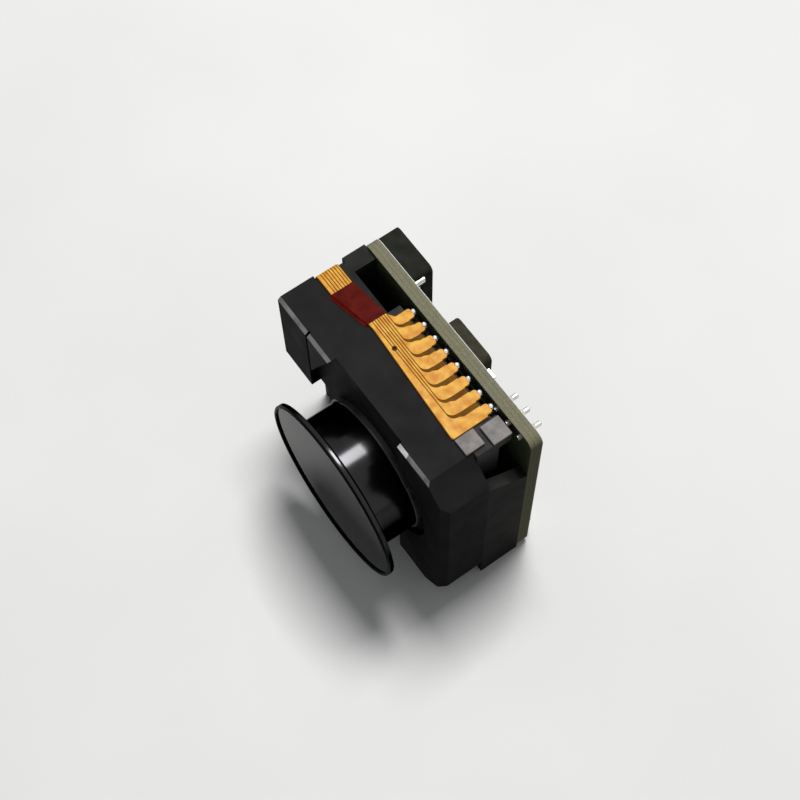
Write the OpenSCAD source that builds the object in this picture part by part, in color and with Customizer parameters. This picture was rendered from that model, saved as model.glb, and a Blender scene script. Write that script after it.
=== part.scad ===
// Small square camera module: a lens in a moulded front housing, an image sensor behind it on its own
// board, a film circuit folded over the top, and a main board with its parts on the back.
// The lens looks along -Y, +Z is up and the module stands on its lower edge.

/* [Module] */
// Width of the housing, the frame and the main board
module_w = 19; // [18.5:0.25:20]
// Height of the main board
board_h = 19; // [18.5:0.25:20]
// How far the housing's top lies below the top of the board, to leave room for the film
top_step = 0.25; // [0.2:0.05:0.5]
// Thickness of the main board
board_t = 1; // [0.8:0.1:1.6]
// Corner radius of the main board
board_corner_r = 0.8; // [0.3:0.1:1.2]

/* [Front housing] */
// Depth of the housing, from its lens seat to its back face
housing_d = 3.3; // [3:0.1:4]
// Thickness of the square plate at the back of the housing
back_plate_t = 1.1; // [0.8:0.1:1.5]
// Height of the ear above the lens seat
ear_rise = 0.65; // [0.4:0.05:0.8]
// Width of the ear
ear_w = 3.8; // [3.2:0.1:4.2]
// Height of the ear, from the housing's top down
ear_h = 7.45; // [6.5:0.05:8]
// Length of the sloping facet on the inner side of the ear
facet_w = 2.4; // [1.6:0.1:2.8]
// Height of the sloping facet
facet_h = 4.6; // [3:0.1:6]
// Height of the right-hand land above the lens seat
land_rise = 0.4; // [0.2:0.05:0.6]
// Width of the right-hand land
land_w = 5.3; // [4.5:0.1:6]
// Width of the cut below the ear, which leaves only the back plate
ear_cut_w = 4.5; // [3.9:0.05:4.6]
// Size of the cut corners on the right-hand side
corner_cut = 2; // [1:0.1:2.6]
// Radial gap between the lens barrel and the land
lens_relief = 0.9; // [0.5:0.1:1.2]

/* [Rear frame] */
// Depth of the frame between the housing and the main board
frame_d = 3.3; // [3.2:0.05:3.8]
// Thickness of the frame's walls
frame_wall = 0.9; // [0.7:0.05:1]
// How far the right-hand wall ends below the board's top, at the housing
right_drop_front = 3; // [2.5:0.25:5]
// How far the right-hand wall ends below the board's top, at the board
right_drop_back = 5; // [3:0.25:7]
// Radius of the screw bosses
boss_r = 1.5; // [1.2:0.1:1.7]
// Distance of the screws from the nearest side and from the base
screw_inset = 1.9; // [1.8:0.05:2.1]

/* [Lens] */
// Sideways distance of the lens from the module's centre
lens_x = 1.2; // [0.6:0.1:1.6]
// Height of the lens above the module's middle
lens_rise = 0.5; // [0:0.1:0.8]
// Diameter of the lens head
head_d = 14.2; // [13.6:0.1:15]
// Thickness of the head's edge
head_edge_t = 0.35; // [0.25:0.05:0.5]
// Diameter of the barrel between the head and the lock ring
barrel_d = 10.4; // [10.2:0.1:10.8]
// Length of barrel that stands out of the housing, under the head
barrel_reach = 3.65; // [3:0.05:4.5]
// Outer diameter of the barrel's thread
thread_d = 10; // [9.8:0.1:10]
// Bore of the barrel, which the glass elements fit
barrel_bore_d = 9; // [8.6:0.1:9]
// Diameter of the lock ring
lock_ring_d = 10.7; // [10.5:0.1:11.4]
// Thickness of the lock ring
lock_ring_t = 0.5; // [0.4:0.05:0.8]
// Thickness of the ring that holds the front glass
bezel_t = 0.15; // [0.1:0.05:0.25]
// Diameter of the glass that shows inside the ring
bezel_d = 12.4; // [12:0.1:12.6]
// Diameter of the front glass
front_glass_d = 12.8; // [12.7:0.05:12.9]
// Edge thickness of the front glass
front_glass_t = 0.4; // [0.3:0.05:0.45]
// Thickness of the inner glass elements
element_t = 1.4; // [1.2:0.1:1.5]
// Thickness of the ring between the two inner elements
spacer_t = 1; // [0.8:0.1:1.2]
// Diameter of the light stop in that ring
stop_d = 3; // [2:0.1:4]

/* [Sensor] */
// Width of the square image sensor
sensor_w = 10; // [9:0.25:10.25]
// Thickness of the image sensor's package
sensor_t = 0.8; // [0.6:0.05:0.9]
// Thickness of the glass on the image sensor
sensor_glass_t = 0.3; // [0.25:0.05:0.35]
// Width of the square colour filter
filter_w = 9; // [8.6:0.1:9.4]
// Thickness of the colour filter
filter_t = 0.3; // [0.2:0.05:0.35]
// Width of the board that carries the sensor
sensor_board_w = 12; // [11:0.25:12]
// Height of the board that carries the sensor
sensor_board_h = 11; // [10.6:0.1:11.2]
// Thickness of the board that carries the sensor
sensor_board_t = 0.4; // [0.3:0.05:0.5]

/* [Film circuit] */
// Thickness of the film
film_t = 0.12; // [0.1:0.01:0.14]
// Thickness of the copper tracks
track_t = 0.03; // [0.02:0.01:0.04]
// Thickness of the tape over the neck
tape_t = 0.06; // [0.04:0.01:0.08]
// Width of the film's neck
neck_w = 2.2; // [1.8:0.1:2.3]
// Number of fingers
fingers = 8; // [6:1:8]
// Distance from finger to finger
finger_pitch = 1.25; // [1.2:0.01:1.27]
// Width of each finger
finger_w = 0.86; // [0.7:0.02:0.9]
// Distance from one track to the next in the neck
lane_pitch = 0.165; // [0.15:0.005:0.18]
// Outer radius of the film's bends
bend_r = 0.5; // [0.4:0.05:0.6]
// Width of the first grey pad, beside the film's front edge
front_pad_w = 1.34; // [1:0.02:1.6]
// Width of the second grey pad, nearer to the board
rear_pad_w = 1.6; // [1:0.02:1.8]
// Depth of the grey pads
pad_d = 1.5; // [1.2:0.05:1.6]
// Thickness of the grey pads
pad_t = 0.25; // [0.2:0.05:0.4]

/* [Rear parts] */
// Length of the board connector
connector_l = 10.6; // [9:0.5:10.6]
// Width of the board connector
connector_w = 4.3; // [4:0.1:4.5]
// Height of the board connector above the main board
connector_h = 1.7; // [1.4:0.1:2]
// Distance from contact to contact
contact_pitch = 0.8; // [0.8:0.1:1]
// Width of the power inductor
inductor_w = 4.1; // [3.6:0.1:4.4]
// Height of the power inductor above the main board
inductor_h = 1.5; // [1.2:0.1:1.6]
// Width of the image processor
processor_w = 7.5; // [6.5:0.25:8]
// Width of the memory chip
memory_w = 3; // [2.5:0.1:3]
// Height of the memory chip on the board
memory_l = 5; // [4:0.1:5.2]
// Width of the square voltage regulator
regulator_w = 2.6; // [2:0.1:2.8]
// Width of the crystal's can
crystal_w = 3.2; // [2.5:0.1:3.4]
// Height of the crystal's can on the board
crystal_l = 2.5; // [2:0.1:2.6]
// Height of the chips above the main board
chip_h = 0.9; // [0.7:0.05:1.1]
// Length of the pins that stand out behind the main board
pin_l = 1.3; // [1:0.1:1.6]

/* [Fasteners and fits] */
// Diameter of the screws' threads
screw_d = 1.4; // [1.2:0.1:1.6]
// Diameter of the screws' heads
screw_head_d = 2.6; // [2.2:0.1:2.8]
// Length of the screws under their heads
screw_l = 5; // [4.8:0.1:5.2]
// Radial gap of the lens thread in the housing and of the inner elements
lens_fit = 0.02; // [0.01:0.01:0.03]
// Gap between pieces that drop into each other
fit = 0.1; // [0.06:0.01:0.12]

/* [Hidden] */
$fn = 72;
little = 0.01;
half_w = module_w / 2;
housing_h = board_h - top_step;
lens_z = board_h / 2 + lens_rise;

// Places along Y are measured from the front face of the main board.
seat_y = -frame_d - housing_d;
ear_y = seat_y - ear_rise;
land_y = seat_y - land_rise;
plate_y = -frame_d - back_plate_t;
head_edge_y = seat_y - barrel_reach - head_edge_t;
lens_front_y = head_edge_y - bezel_t;
rear_y = board_t + max(connector_h, inductor_h, pin_l);
middle_y = (lens_front_y + rear_y) / 2;

// Front housing
ear_base_z = housing_h - ear_h;
ear_side_x = -half_w + ear_w;

// The lens, measured along its axis from the front edge of the head
head_back = head_edge_t + 0.27;
head_taper = 0.9;
lip = front_glass_t + 0.9;
lip_t = 0.6;
lip_d = 7.2;
middle_element_at = lip + lip_t;
spacer_at = middle_element_at + element_t;
rear_element_at = spacer_at + spacer_t;
retainer_at = rear_element_at + element_t;
retainer_t = 0.6;
barrel_end_gap = 0.5;
barrel_l = barrel_reach + head_edge_t + housing_d - barrel_end_gap;
shoulder_at = barrel_reach + head_edge_t - lock_ring_t;
element_d = barrel_bore_d - 2 * lens_fit;
front_dome = bezel_t * 0.8;

// The sensor and its carrier
carrier_d = 1.9;
sensor_board_y = -frame_d + carrier_d;
sensor_y = sensor_board_y - sensor_t;
sensor_glass_y = sensor_y - sensor_glass_t;
gasket_t = 0.15;
gasket_y = sensor_glass_y - gasket_t;
sensor_glass_w = sensor_w - 0.8;
window_w = filter_w - 1.4;
carrier_rim = 0.3;
carrier_r = 0.8;
shelf_t = 0.85;

// The film circuit, seen from above
pad_left = -4.05;
finger_x = -3.18;
pad_right = finger_x + (fingers - 1) * finger_pitch + 0.55;
pad_corner = 0.12;
film_front_left = -3.4;
film_front_right = -3.9;
finger_root_y = -1.35;
finger_tip_y = -0.3;
solder_y = -0.37;
solder_r = 0.32;
solder_sink = 0.12;
track_end_y = -0.7;
track_margin = 0.06;
neck_front = -4.2;
neck_back = neck_front + neck_w;
film_side_gap = 0.06;
film_side_x = -half_w + film_side_gap;
film_side_depth = film_side_gap + film_t + 0.04;
first_gap_y = -1.8;
gap_w = 0.06;
turn_r = 0.55;
turn_swell = 0.12;
slot_w = finger_pitch - finger_w;
locating_hole_x = -1.62;
locating_hole_y = film_front_left + 0.36;
locating_hole_r = 0.14;
tape_left = -7.4;
tape_front = -4.9;
tape_back = -1.4;
side_leg_low = lens_z - 1;
side_leg_turn = lens_z + 2.4;
side_fold_y = sensor_board_y + sensor_board_t / 2 + film_t / 2;

// The shelf, the pads on it, and the block that the fingers are soldered to
front_pad_x = pad_right + 0.06;
front_pad_y = -3.8;
rear_pad_x = pad_right + 0.26;
rear_pad_y = -1.9;
shelf_left = pad_left - 0.15;
shelf_right = rear_pad_x + rear_pad_w;
shelf_y = -0.75;
shelf_step = 0.35;
block_d = 0.7;
block_h = 1.15;
block_top = housing_h - shelf_t - 0.1;
terminal_w = 0.4;
terminal_t = 0.2;
foot_t = 0.15;

// The main board's back, and what stands on it
connector_edge_gap = 0.1;
connector_x = -half_w + connector_edge_gap;
connector_right = connector_x + connector_w;
connector_top = board_h - connector_edge_gap;
connector_base = connector_top - connector_l;
contact_l = 0.65;
nail_l = 0.85;
nail_w = 0.6;
screw_x = half_w - screw_inset;
screw_head_t = 0.7;
screw_head_top = screw_inset + screw_head_d / 2;
processor_left = connector_right + 1.3;
processor_low = 2.6;
processor_high = processor_low + processor_w;
inductor_left = connector_right + 3.1;
inductor_right = inductor_left + inductor_w;
inductor_top = board_h - 2;
inductor_low = inductor_top - inductor_w;
memory_right = half_w - 0.7;
memory_low = screw_head_top + 0.8;
regulator_right = half_w - 2.6;
regulator_high = board_h - 3.9;
crystal_left = -half_w + 1.2;
crystal_low = screw_head_top + 0.4;
chip_step = 0.15;
capacitor_w = 0.8;
capacitor_l = 1.6;
resistor_w = 0.6;
resistor_l = 1.1;
resistor_h = 0.35;
small_row_z = processor_low / 2;
small_pitch = 1.2;
pin_r = 0.2;
pin_z = board_h - 0.8;
pin_x = half_w - 1.3;
pin_front = 0.15;
pins = 3;

// ---- Shared ways of placing and drawing ----

// Puts the whole module over its own middle.
module in_place() {
    translate([0, -middle_y, 0]) children();
}

// A flat outline in X and Z, given a thickness along Y from one face to the other.
module slab(from_y, to_y) {
    translate([0, to_y, 0]) rotate([90, 0, 0]) linear_extrude(to_y - from_y) children();
}

// A turned piece on the lens axis; its profile is radius against distance from the head's front edge.
module turned() {
    translate([lens_x, head_edge_y, lens_z]) rotate([-90, 0, 0]) rotate_extrude() children();
}

// A box centred on a place in X and Z.
module box_on(x, z, w, h, from_y, to_y) {
    translate([x - w / 2, from_y, z - h / 2]) cube([w, to_y - from_y, h]);
}

// A rectangle with round corners, lying from one corner to the other.
module round_rect(x0, z0, x1, z1, r) {
    translate([x0 + r, z0]) square([x1 - x0 - 2 * r, z1 - z0]);
    translate([x0, z0 + r]) square([x1 - x0, z1 - z0 - 2 * r]);
    for (x = [x0 + r, x1 - r], z = [z0 + r, z1 - r]) translate([x, z]) circle(r);
}

module at_screws() {
    for (side = [-1, 1]) translate([side * screw_x, 0, screw_inset]) rotate([-90, 0, 0]) children();
}

// ---- Front housing ----

// The square outline with the two right-hand corners cut.
module housing_outline() {
    polygon([
        [-half_w, 0], [half_w - corner_cut, 0], [half_w, corner_cut],
        [half_w, housing_h - corner_cut], [half_w - corner_cut, housing_h], [-half_w, housing_h]
    ]);
}

module body_outline() {
    difference() {
        housing_outline();
        translate([-half_w - 1, -1]) square([ear_cut_w + 1, ear_base_z + 1]);
    }
}

// The slope that falls from the ear's front face to the lens seat, ending in a point below
module ear_facet() {
    intersection() {
        translate([0, 0, housing_h - facet_h]) linear_extrude(facet_h) polygon([
            [ear_side_x - little, ear_y], [ear_side_x + facet_w, seat_y], [ear_side_x - little, seat_y + little]
        ]);
        slab(ear_y - 1, seat_y + 1) polygon([
            [ear_side_x - 1, housing_h - facet_h], [ear_side_x, housing_h - facet_h],
            [ear_side_x + facet_w, housing_h], [ear_side_x - 1, housing_h]
        ]);
    }
}

// The space that the film's side leg takes on the left of the housing and the frame
module side_channel() {
    outside = -half_w - 1;
    foot_h = side_leg_turn - side_leg_low + 2 * fit;
    translate([outside, neck_front - fit, side_leg_low - fit])
        cube([1 + film_side_depth, neck_w + 2 * fit, housing_h]);
    translate([outside, neck_front - fit, side_leg_low - fit])
        cube([1 + film_side_depth, side_fold_y - neck_front + 2 * fit, foot_h]);
    // Pocket for the bend in to the slot
    translate([outside, side_fold_y - bend_r, side_leg_low - fit])
        cube([film_side_x + bend_r - outside, bend_r + fit, foot_h]);
    // The top corner is rounded, and the film's bend lies on it.
    difference() {
        translate([outside, neck_front - fit, housing_h - bend_r])
            cube([film_side_x + bend_r - outside, neck_w + 2 * fit, bend_r + 1]);
        translate([film_side_x + bend_r, 0, housing_h + film_t - bend_r]) rotate([90, 0, 0])
            cylinder(r = bend_r - film_t, h = 20, center = true);
    }
}

module front_housing() color([0.13, 0.13, 0.13]) difference() {
    union() {
        slab(seat_y, -frame_d) body_outline();
        slab(plate_y, -frame_d) housing_outline();
        slab(ear_y, seat_y + little)
            translate([-half_w, ear_base_z]) square([ear_w, ear_h]);
        ear_facet();
        slab(land_y, seat_y + little) intersection() {
            housing_outline();
            translate([half_w - land_w, 0]) square([land_w, housing_h]);
        }
    }
    // Thread for the lens, and the clearance round it
    translate([lens_x, seat_y - 5, lens_z]) rotate([-90, 0, 0])
        cylinder(d = thread_d + 2 * lens_fit, h = housing_d + 10);
    translate([lens_x, seat_y, lens_z]) rotate([90, 0, 0])
        cylinder(r = barrel_d / 2 + lens_relief, h = 5);
    // Screw holes from behind
    at_screws() translate([0, 0, board_t - screw_l - 2 * fit]) cylinder(d = screw_d, h = screw_l);
    side_channel();
}

// ---- Rear frame ----

module frame_outline() {
    difference() {
        translate([-half_w, 0]) square([module_w, housing_h]);
        translate([-half_w + frame_wall, frame_wall]) square([module_w - 2 * frame_wall, housing_h]);
    }
    for (side = [-1, 1]) intersection() {
        translate([-half_w, 0]) square([module_w, housing_h]);
        translate([side * screw_x, screw_inset]) union() {
            circle(boss_r);
            translate([-boss_r, -screw_inset]) square([2 * boss_r, screw_inset]);
            translate([side > 0 ? 0 : -screw_inset, -screw_inset])
                square([screw_inset, screw_inset + boss_r]);
        }
    }
}

module rear_frame() color([0.19, 0.19, 0.19]) difference() {
    slab(-frame_d, 0) frame_outline();
    // The right-hand wall is lower and its top falls towards the board.
    translate([half_w - frame_wall - 1, 0, 0]) rotate([90, 0, 90]) linear_extrude(frame_wall + 2) polygon([
        [-frame_d - 1, board_h - right_drop_front], [-frame_d, board_h - right_drop_front],
        [0, board_h - right_drop_back], [1, board_h - right_drop_back], [1, board_h], [-frame_d - 1, board_h]
    ]);
    at_screws() cylinder(d = screw_d + 2 * fit, h = 20, center = true);
    side_channel();
    // Slot through which the film turns in to the sensor board
    translate([-half_w - 1, side_fold_y - film_t - fit, side_leg_low - fit])
        cube([frame_wall + 2, film_t + 2 * fit, side_leg_turn - side_leg_low + 2 * fit]);
}

// ---- Sensor carrier ----

module sensor_carrier() color([0.08, 0.08, 0.09]) difference() {
    union() {
        slab(-frame_d, sensor_board_y) round_rect(
            lens_x - sensor_board_w / 2 - carrier_rim, lens_z - sensor_board_h / 2 - carrier_rim / 2,
            lens_x + sensor_board_w / 2 + carrier_rim, lens_z + sensor_board_h / 2 + carrier_rim / 2, carrier_r
        );
        // Web up to the shelf that carries the film and the pads
        slab(-frame_d, sensor_board_y) translate([shelf_left, lens_z + sensor_board_h / 2 - 1])
            square([shelf_right - shelf_left, housing_h - lens_z - sensor_board_h / 2 + 1]);
        translate([shelf_left, -frame_d, housing_h - shelf_t])
            cube([shelf_right - shelf_left, frame_d + shelf_y, shelf_t]);
        translate([front_pad_x, shelf_y - little, housing_h - shelf_t])
            cube([shelf_right - front_pad_x, shelf_step + little, shelf_t]);
    }
    box_on(lens_x, lens_z, filter_w + 2 * fit, filter_w + 2 * fit, -frame_d - 1, -frame_d + filter_t);
    box_on(lens_x, lens_z, window_w, window_w, -frame_d - 1, 0);
    box_on(lens_x, lens_z, sensor_glass_w + 2 * fit, sensor_glass_w + 2 * fit, gasket_y, 0);
    box_on(lens_x, lens_z, sensor_w + 2 * fit, sensor_w + 2 * fit, sensor_y - fit, 0);
}

// ---- Lens ----

module lens_barrel() color([0.03, 0.03, 0.035]) turned() polygon([
    [front_glass_d / 2 + fit / 2, 0], [head_d / 2, 0], [head_d / 2, head_edge_t],
    [head_d / 2 - head_taper, head_back], [barrel_d / 2, head_back], [barrel_d / 2, shoulder_at],
    [thread_d / 2, shoulder_at], [thread_d / 2, barrel_l], [barrel_bore_d / 2, barrel_l],
    [barrel_bore_d / 2, lip + lip_t], [lip_d / 2, lip + lip_t], [lip_d / 2, lip],
    [barrel_bore_d / 2, lip], [barrel_bore_d / 2, front_glass_t], [front_glass_d / 2 + fit / 2, front_glass_t]
]);

module lens_bezel() color([0.05, 0.05, 0.055]) turned() polygon([
    [bezel_d / 2, -bezel_t * 0.4], [bezel_d / 2 + 0.12, -bezel_t], [head_d / 2 - 0.1, -bezel_t],
    [head_d / 2, -bezel_t + 0.1], [head_d / 2, 0], [bezel_d / 2, 0]
]);

// Points along a glass face, from the axis to its edge. The face stands at a distance along the axis and
// swells outward by rise; a negative rise hollows it.
face_steps = 12;
function swell(x, r) = r - sqrt(r * r - x * x);
function face_r(d, rise) = (d * d / 4 + rise * rise) / (2 * abs(rise));
function face_points(d, rise, at, outward) = [
    for (i = [0:face_steps])
        let (x = d / 2 * i / face_steps)
        [x, at + outward * (rise - sign(rise) * swell(x, face_r(d, rise)))]
];
function backwards(points) = [for (i = [len(points) - 1:-1:0]) points[i]];

module on_axis(at) {
    translate([lens_x, head_edge_y + at, lens_z]) rotate([-90, 0, 0]) children();
}

// The wide front glass has a flat rim that lies in the head and a thicker, hollowed middle in the bore.
module front_element() color([0.35, 0.4, 0.42, 0.6]) turned() polygon(concat(
    face_points(bezel_d, front_dome, 0, -1),
    [[front_glass_d / 2, 0], [front_glass_d / 2, front_glass_t], [element_d / 2, front_glass_t]],
    backwards(face_points(element_d, -0.7, lip, 1))
));

// An inner element between two places on the axis, hollowed on both faces
module inner_element(from, front_hollow, back_hollow) {
    turned() polygon(concat(
        face_points(element_d, -front_hollow, from, -1),
        backwards(face_points(element_d, -back_hollow, from + element_t, 1))
    ));
}

module middle_element() color([0.6, 0.7, 0.72, 0.5]) inner_element(middle_element_at, 0.25, 0.3);

module rear_element() color([0.6, 0.7, 0.72, 0.5]) inner_element(rear_element_at, 0.2, 0.25);

module stop_ring() color([0.05, 0.05, 0.05]) turned() polygon([
    [element_d / 2, spacer_at], [element_d / 2, spacer_at + spacer_t],
    [element_d / 2 - 0.9, spacer_at + spacer_t], [stop_d / 2, spacer_at + spacer_t * 0.6],
    [stop_d / 2, spacer_at + spacer_t * 0.4], [element_d / 2 - 0.9, spacer_at]
]);

module rear_retainer() color([0.05, 0.05, 0.05]) turned() polygon([
    [element_d / 2, retainer_at], [element_d / 2, retainer_at + retainer_t],
    [element_d / 2 - 0.7, retainer_at + retainer_t], [element_d / 2 - 1.1, retainer_at]
]);

module lock_ring() color([0.07, 0.07, 0.07]) difference() {
    on_axis(shoulder_at) cylinder(d = lock_ring_d, h = lock_ring_t);
    on_axis(shoulder_at - 1) cylinder(d = thread_d + 2 * lens_fit, h = lock_ring_t + 2);
    // Four small slots for the tightening tool
    for (turn = [45:90:315]) on_axis(shoulder_at) rotate([0, 0, turn])
        translate([lock_ring_d / 2 - 0.15, -0.4, -1]) cube([2, 0.8, lock_ring_t + 2]);
}

// ---- Filter and image sensor ----

module colour_filter() color([0.45, 0.75, 0.75, 0.5])
    box_on(lens_x, lens_z, filter_w, filter_w, -frame_d, -frame_d + filter_t);

module sensor_gasket() color([0.15, 0.15, 0.15]) difference() {
    box_on(lens_x, lens_z, sensor_glass_w, sensor_glass_w, gasket_y, sensor_glass_y);
    box_on(lens_x, lens_z, window_w, window_w, gasket_y - 1, sensor_glass_y + 1);
}

module sensor_glass() color([0.7, 0.78, 0.8, 0.5])
    box_on(lens_x, lens_z, sensor_glass_w, sensor_glass_w, sensor_glass_y, sensor_y);

module image_sensor() color([0.2, 0.22, 0.25]) difference() {
    box_on(lens_x, lens_z, sensor_w, sensor_w, sensor_y, sensor_board_y);
    // Shallow well over the light-sensitive area
    box_on(lens_x, lens_z, sensor_glass_w - 1.6, sensor_glass_w - 2.4, sensor_y - 1, sensor_y + 0.25);
}

module sensor_board() color([0.1, 0.3, 0.2]) slab(sensor_board_y, sensor_board_y + sensor_board_t)
    round_rect(lens_x - sensor_board_w / 2, lens_z - sensor_board_h / 2,
        lens_x + sensor_board_w / 2, lens_z + sensor_board_h / 2, 0.5);

// ---- Film circuit ----

function finger_at(i) = finger_x + i * finger_pitch;
function gap_y(i) = first_gap_y - i * lane_pitch;
function gap_x(i) = finger_at(i) + finger_pitch / 2;

// The flat part on top, with its front edge running slightly askew and its fingers apart.
module film_outline() {
    difference() {
        polygon([
            [pad_left, neck_front], [pad_left + 0.25, film_front_left], [pad_right - 0.15, film_front_right],
            [pad_right, film_front_right + pad_corner], [pad_right, finger_root_y],
            [pad_right - pad_corner, finger_root_y + pad_corner],
            [finger_at(0) - finger_w / 2, finger_root_y + pad_corner], [pad_left, neck_back]
        ]);
        translate([locating_hole_x, locating_hole_y]) circle(locating_hole_r, $fn = 24);
    }
    for (i = [0:fingers - 1]) {
        translate([finger_at(i) - finger_w / 2, finger_root_y])
            square([finger_w, finger_tip_y - finger_root_y - finger_w / 3]);
        translate([finger_at(i) - finger_w / 3, finger_root_y])
            square([finger_w * 2 / 3, finger_tip_y - finger_root_y]);
        for (side = [-1, 1]) translate([finger_at(i) + side * finger_w / 6, finger_tip_y - finger_w / 3])
            circle(finger_w / 3, $fn = 24);
    }
}

// A strip of film bent through a quarter circle, seen end on.
module quarter_bend() {
    intersection() {
        difference() {
            circle(bend_r);
            circle(bend_r - film_t);
        }
        translate([-bend_r - 1, 0]) square(bend_r + 1);
    }
}

module film_circuit() color([0.72, 0.42, 0.1]) {
    translate([0, 0, housing_h]) linear_extrude(film_t) film_outline();
    // Neck over the top, and the bend down the left side
    translate([film_side_x + bend_r, neck_front, housing_h])
        cube([pad_left - film_side_x - bend_r + little, neck_w, film_t]);
    translate([film_side_x + bend_r, neck_back, housing_h + film_t - bend_r])
        rotate([90, 0, 0]) linear_extrude(neck_w) quarter_bend();
    // Side leg, with a foot that turns towards the board
    translate([film_side_x, neck_front, side_leg_low])
        cube([film_t, neck_w, housing_h + film_t - bend_r - side_leg_low]);
    translate([film_side_x, neck_front, side_leg_low])
        cube([film_t, side_fold_y - bend_r - neck_front, side_leg_turn - side_leg_low]);
    // Bend through the frame's slot, and the tail on the sensor board's edge
    translate([film_side_x + bend_r, side_fold_y - bend_r, side_leg_low])
        linear_extrude(side_leg_turn - side_leg_low) quarter_bend();
    translate([film_side_x + bend_r, side_fold_y - film_t, side_leg_low])
        cube([lens_x - sensor_board_w / 2 - film_side_x - bend_r, film_t, side_leg_turn - side_leg_low]);
}

// The dark line between two tracks: straight from the neck, round a turn, then widening to the tips.
module track_gap(i) {
    line_y = gap_y(i);
    up_x = gap_x(i);
    translate([pad_left - 1, line_y - gap_w / 2]) square([up_x - turn_r - pad_left + 1, gap_w]);
    translate([up_x - turn_r, line_y + turn_r]) intersection() {
        difference() {
            circle(turn_r + gap_w / 2, $fn = 48);
            translate([-turn_swell, 0]) circle(turn_r - gap_w / 2, $fn = 48);
        }
        translate([0, -turn_r - 1]) square(turn_r + 1);
    }
    polygon([
        [up_x - gap_w / 2 - turn_swell, line_y + turn_r - little],
        [up_x + gap_w / 2, line_y + turn_r - little],
        [up_x + slot_w / 2, finger_root_y], [up_x + slot_w / 2, 1],
        [up_x - slot_w / 2, 1], [up_x - slot_w / 2, finger_root_y]
    ]);
}

track_left = finger_at(0) - finger_w / 2 + track_margin;
track_right = finger_at(fingers - 1) + finger_w / 2 - track_margin;

module film_tracks() color([0.95, 0.68, 0.25])
    translate([0, 0, housing_h + film_t]) linear_extrude(track_t) difference() {
        intersection() {
            polygon([
                [pad_left, neck_back - track_margin], [track_left, neck_back + 0.5],
                [track_left, track_end_y], [track_right, track_end_y],
                [track_right, film_front_right + 4 * track_margin],
                [pad_left + 0.32, film_front_left - 0.02], [pad_left, neck_front + 0.3]
            ]);
            film_outline();
        }
        for (i = [0:fingers - 2]) track_gap(i);
        translate([locating_hole_x, locating_hole_y]) circle(locating_hole_r + track_margin, $fn = 24);
    }

module film_tape() color([0.4, 0.08, 0.08]) difference() {
    translate([tape_left, tape_front, housing_h]) cube([pad_left - tape_left, tape_back - tape_front, film_t + tape_t]);
    translate([tape_left - 1, neck_front, housing_h - 1]) cube([pad_left - tape_left + 2, neck_w, 1 + film_t]);
    // Behind the neck nothing lies under the tape but air.
    translate([tape_left - 1, neck_back - little, housing_h - 1]) cube([pad_left - tape_left + 2, 5, 1 + film_t]);
}

// Rounded beads that join the fingers to the terminals
module finger_solder() color([0.85, 0.85, 0.82])
    for (i = [0:fingers - 1]) translate([finger_at(i), solder_y, housing_h + film_t]) intersection() {
        translate([0, 0, -solder_sink]) sphere(solder_r, $fn = 32);
        cylinder(r = 1, h = 1);
    }

// A bent strip: up through the block to the finger, and down on the board to a solder foot
module terminal(i) {
    translate([finger_at(i) - terminal_w / 2, solder_y - terminal_t / 2, block_top - block_h / 2])
        cube([terminal_w, terminal_t, housing_h - block_top + block_h / 2]);
    translate([finger_at(i) - terminal_w / 2, solder_y - terminal_t / 2, block_top - block_h / 2 - terminal_t])
        cube([terminal_w, terminal_t / 2 - solder_y, terminal_t + little]);
    translate([finger_at(i) - terminal_w / 2, -foot_t, block_top - block_h - 0.8])
        cube([terminal_w, foot_t, block_h / 2 + 0.8]);
}

module terminal_block() color([0.06, 0.06, 0.06]) difference() {
    translate([finger_x - block_d, -block_d, block_top - block_h])
        cube([(fingers - 1) * finger_pitch + 2 * block_d, block_d, block_h]);
    for (i = [0:fingers - 1]) terminal(i);
}

module block_terminals() color([0.8, 0.78, 0.7])
    for (i = [0:fingers - 1]) terminal(i);

module grey_pads() color([0.6, 0.58, 0.6]) {
    translate([front_pad_x, front_pad_y, housing_h]) cube([front_pad_w, pad_d, pad_t]);
    translate([rear_pad_x, rear_pad_y, housing_h]) cube([rear_pad_w, pad_d, pad_t]);
}

// ---- Main board and its parts ----

module at_pins() {
    for (i = [0:pins - 1]) translate([pin_x - i * finger_pitch, 0, pin_z]) rotate([-90, 0, 0]) children();
}

module main_board() color([0.5, 0.5, 0.42]) difference() {
    slab(0, board_t) round_rect(-half_w, 0, half_w, board_h, board_corner_r);
    at_screws() cylinder(d = screw_d + 2 * fit, h = 20, center = true);
    at_pins() cylinder(r = pin_r, h = 20, center = true, $fn = 24);
}

// A part standing on the back of the board, from its lower left corner
module on_back(x, z, w, h, rise) {
    translate([x, board_t, z]) cube([w, rise, h]);
}

module board_connector() color([0.09, 0.09, 0.09]) {
    wall = 0.6;
    end_wall = 0.8;
    groove = 0.85;
    difference() {
        slab(board_t, board_t + connector_h)
            round_rect(connector_x, connector_base, connector_right, connector_top, 0.5);
        // The mating groove round a central island
        slab(board_t + connector_h / 4, board_t + connector_h + 1) difference() {
            translate([connector_x + wall, connector_base + end_wall])
                square([connector_w - 2 * wall, connector_l - 2 * end_wall]);
            translate([connector_x + wall + groove, connector_base + end_wall + groove])
                square([connector_w - 2 * (wall + groove), connector_l - 2 * (end_wall + groove)]);
        }
    }
}

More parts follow.
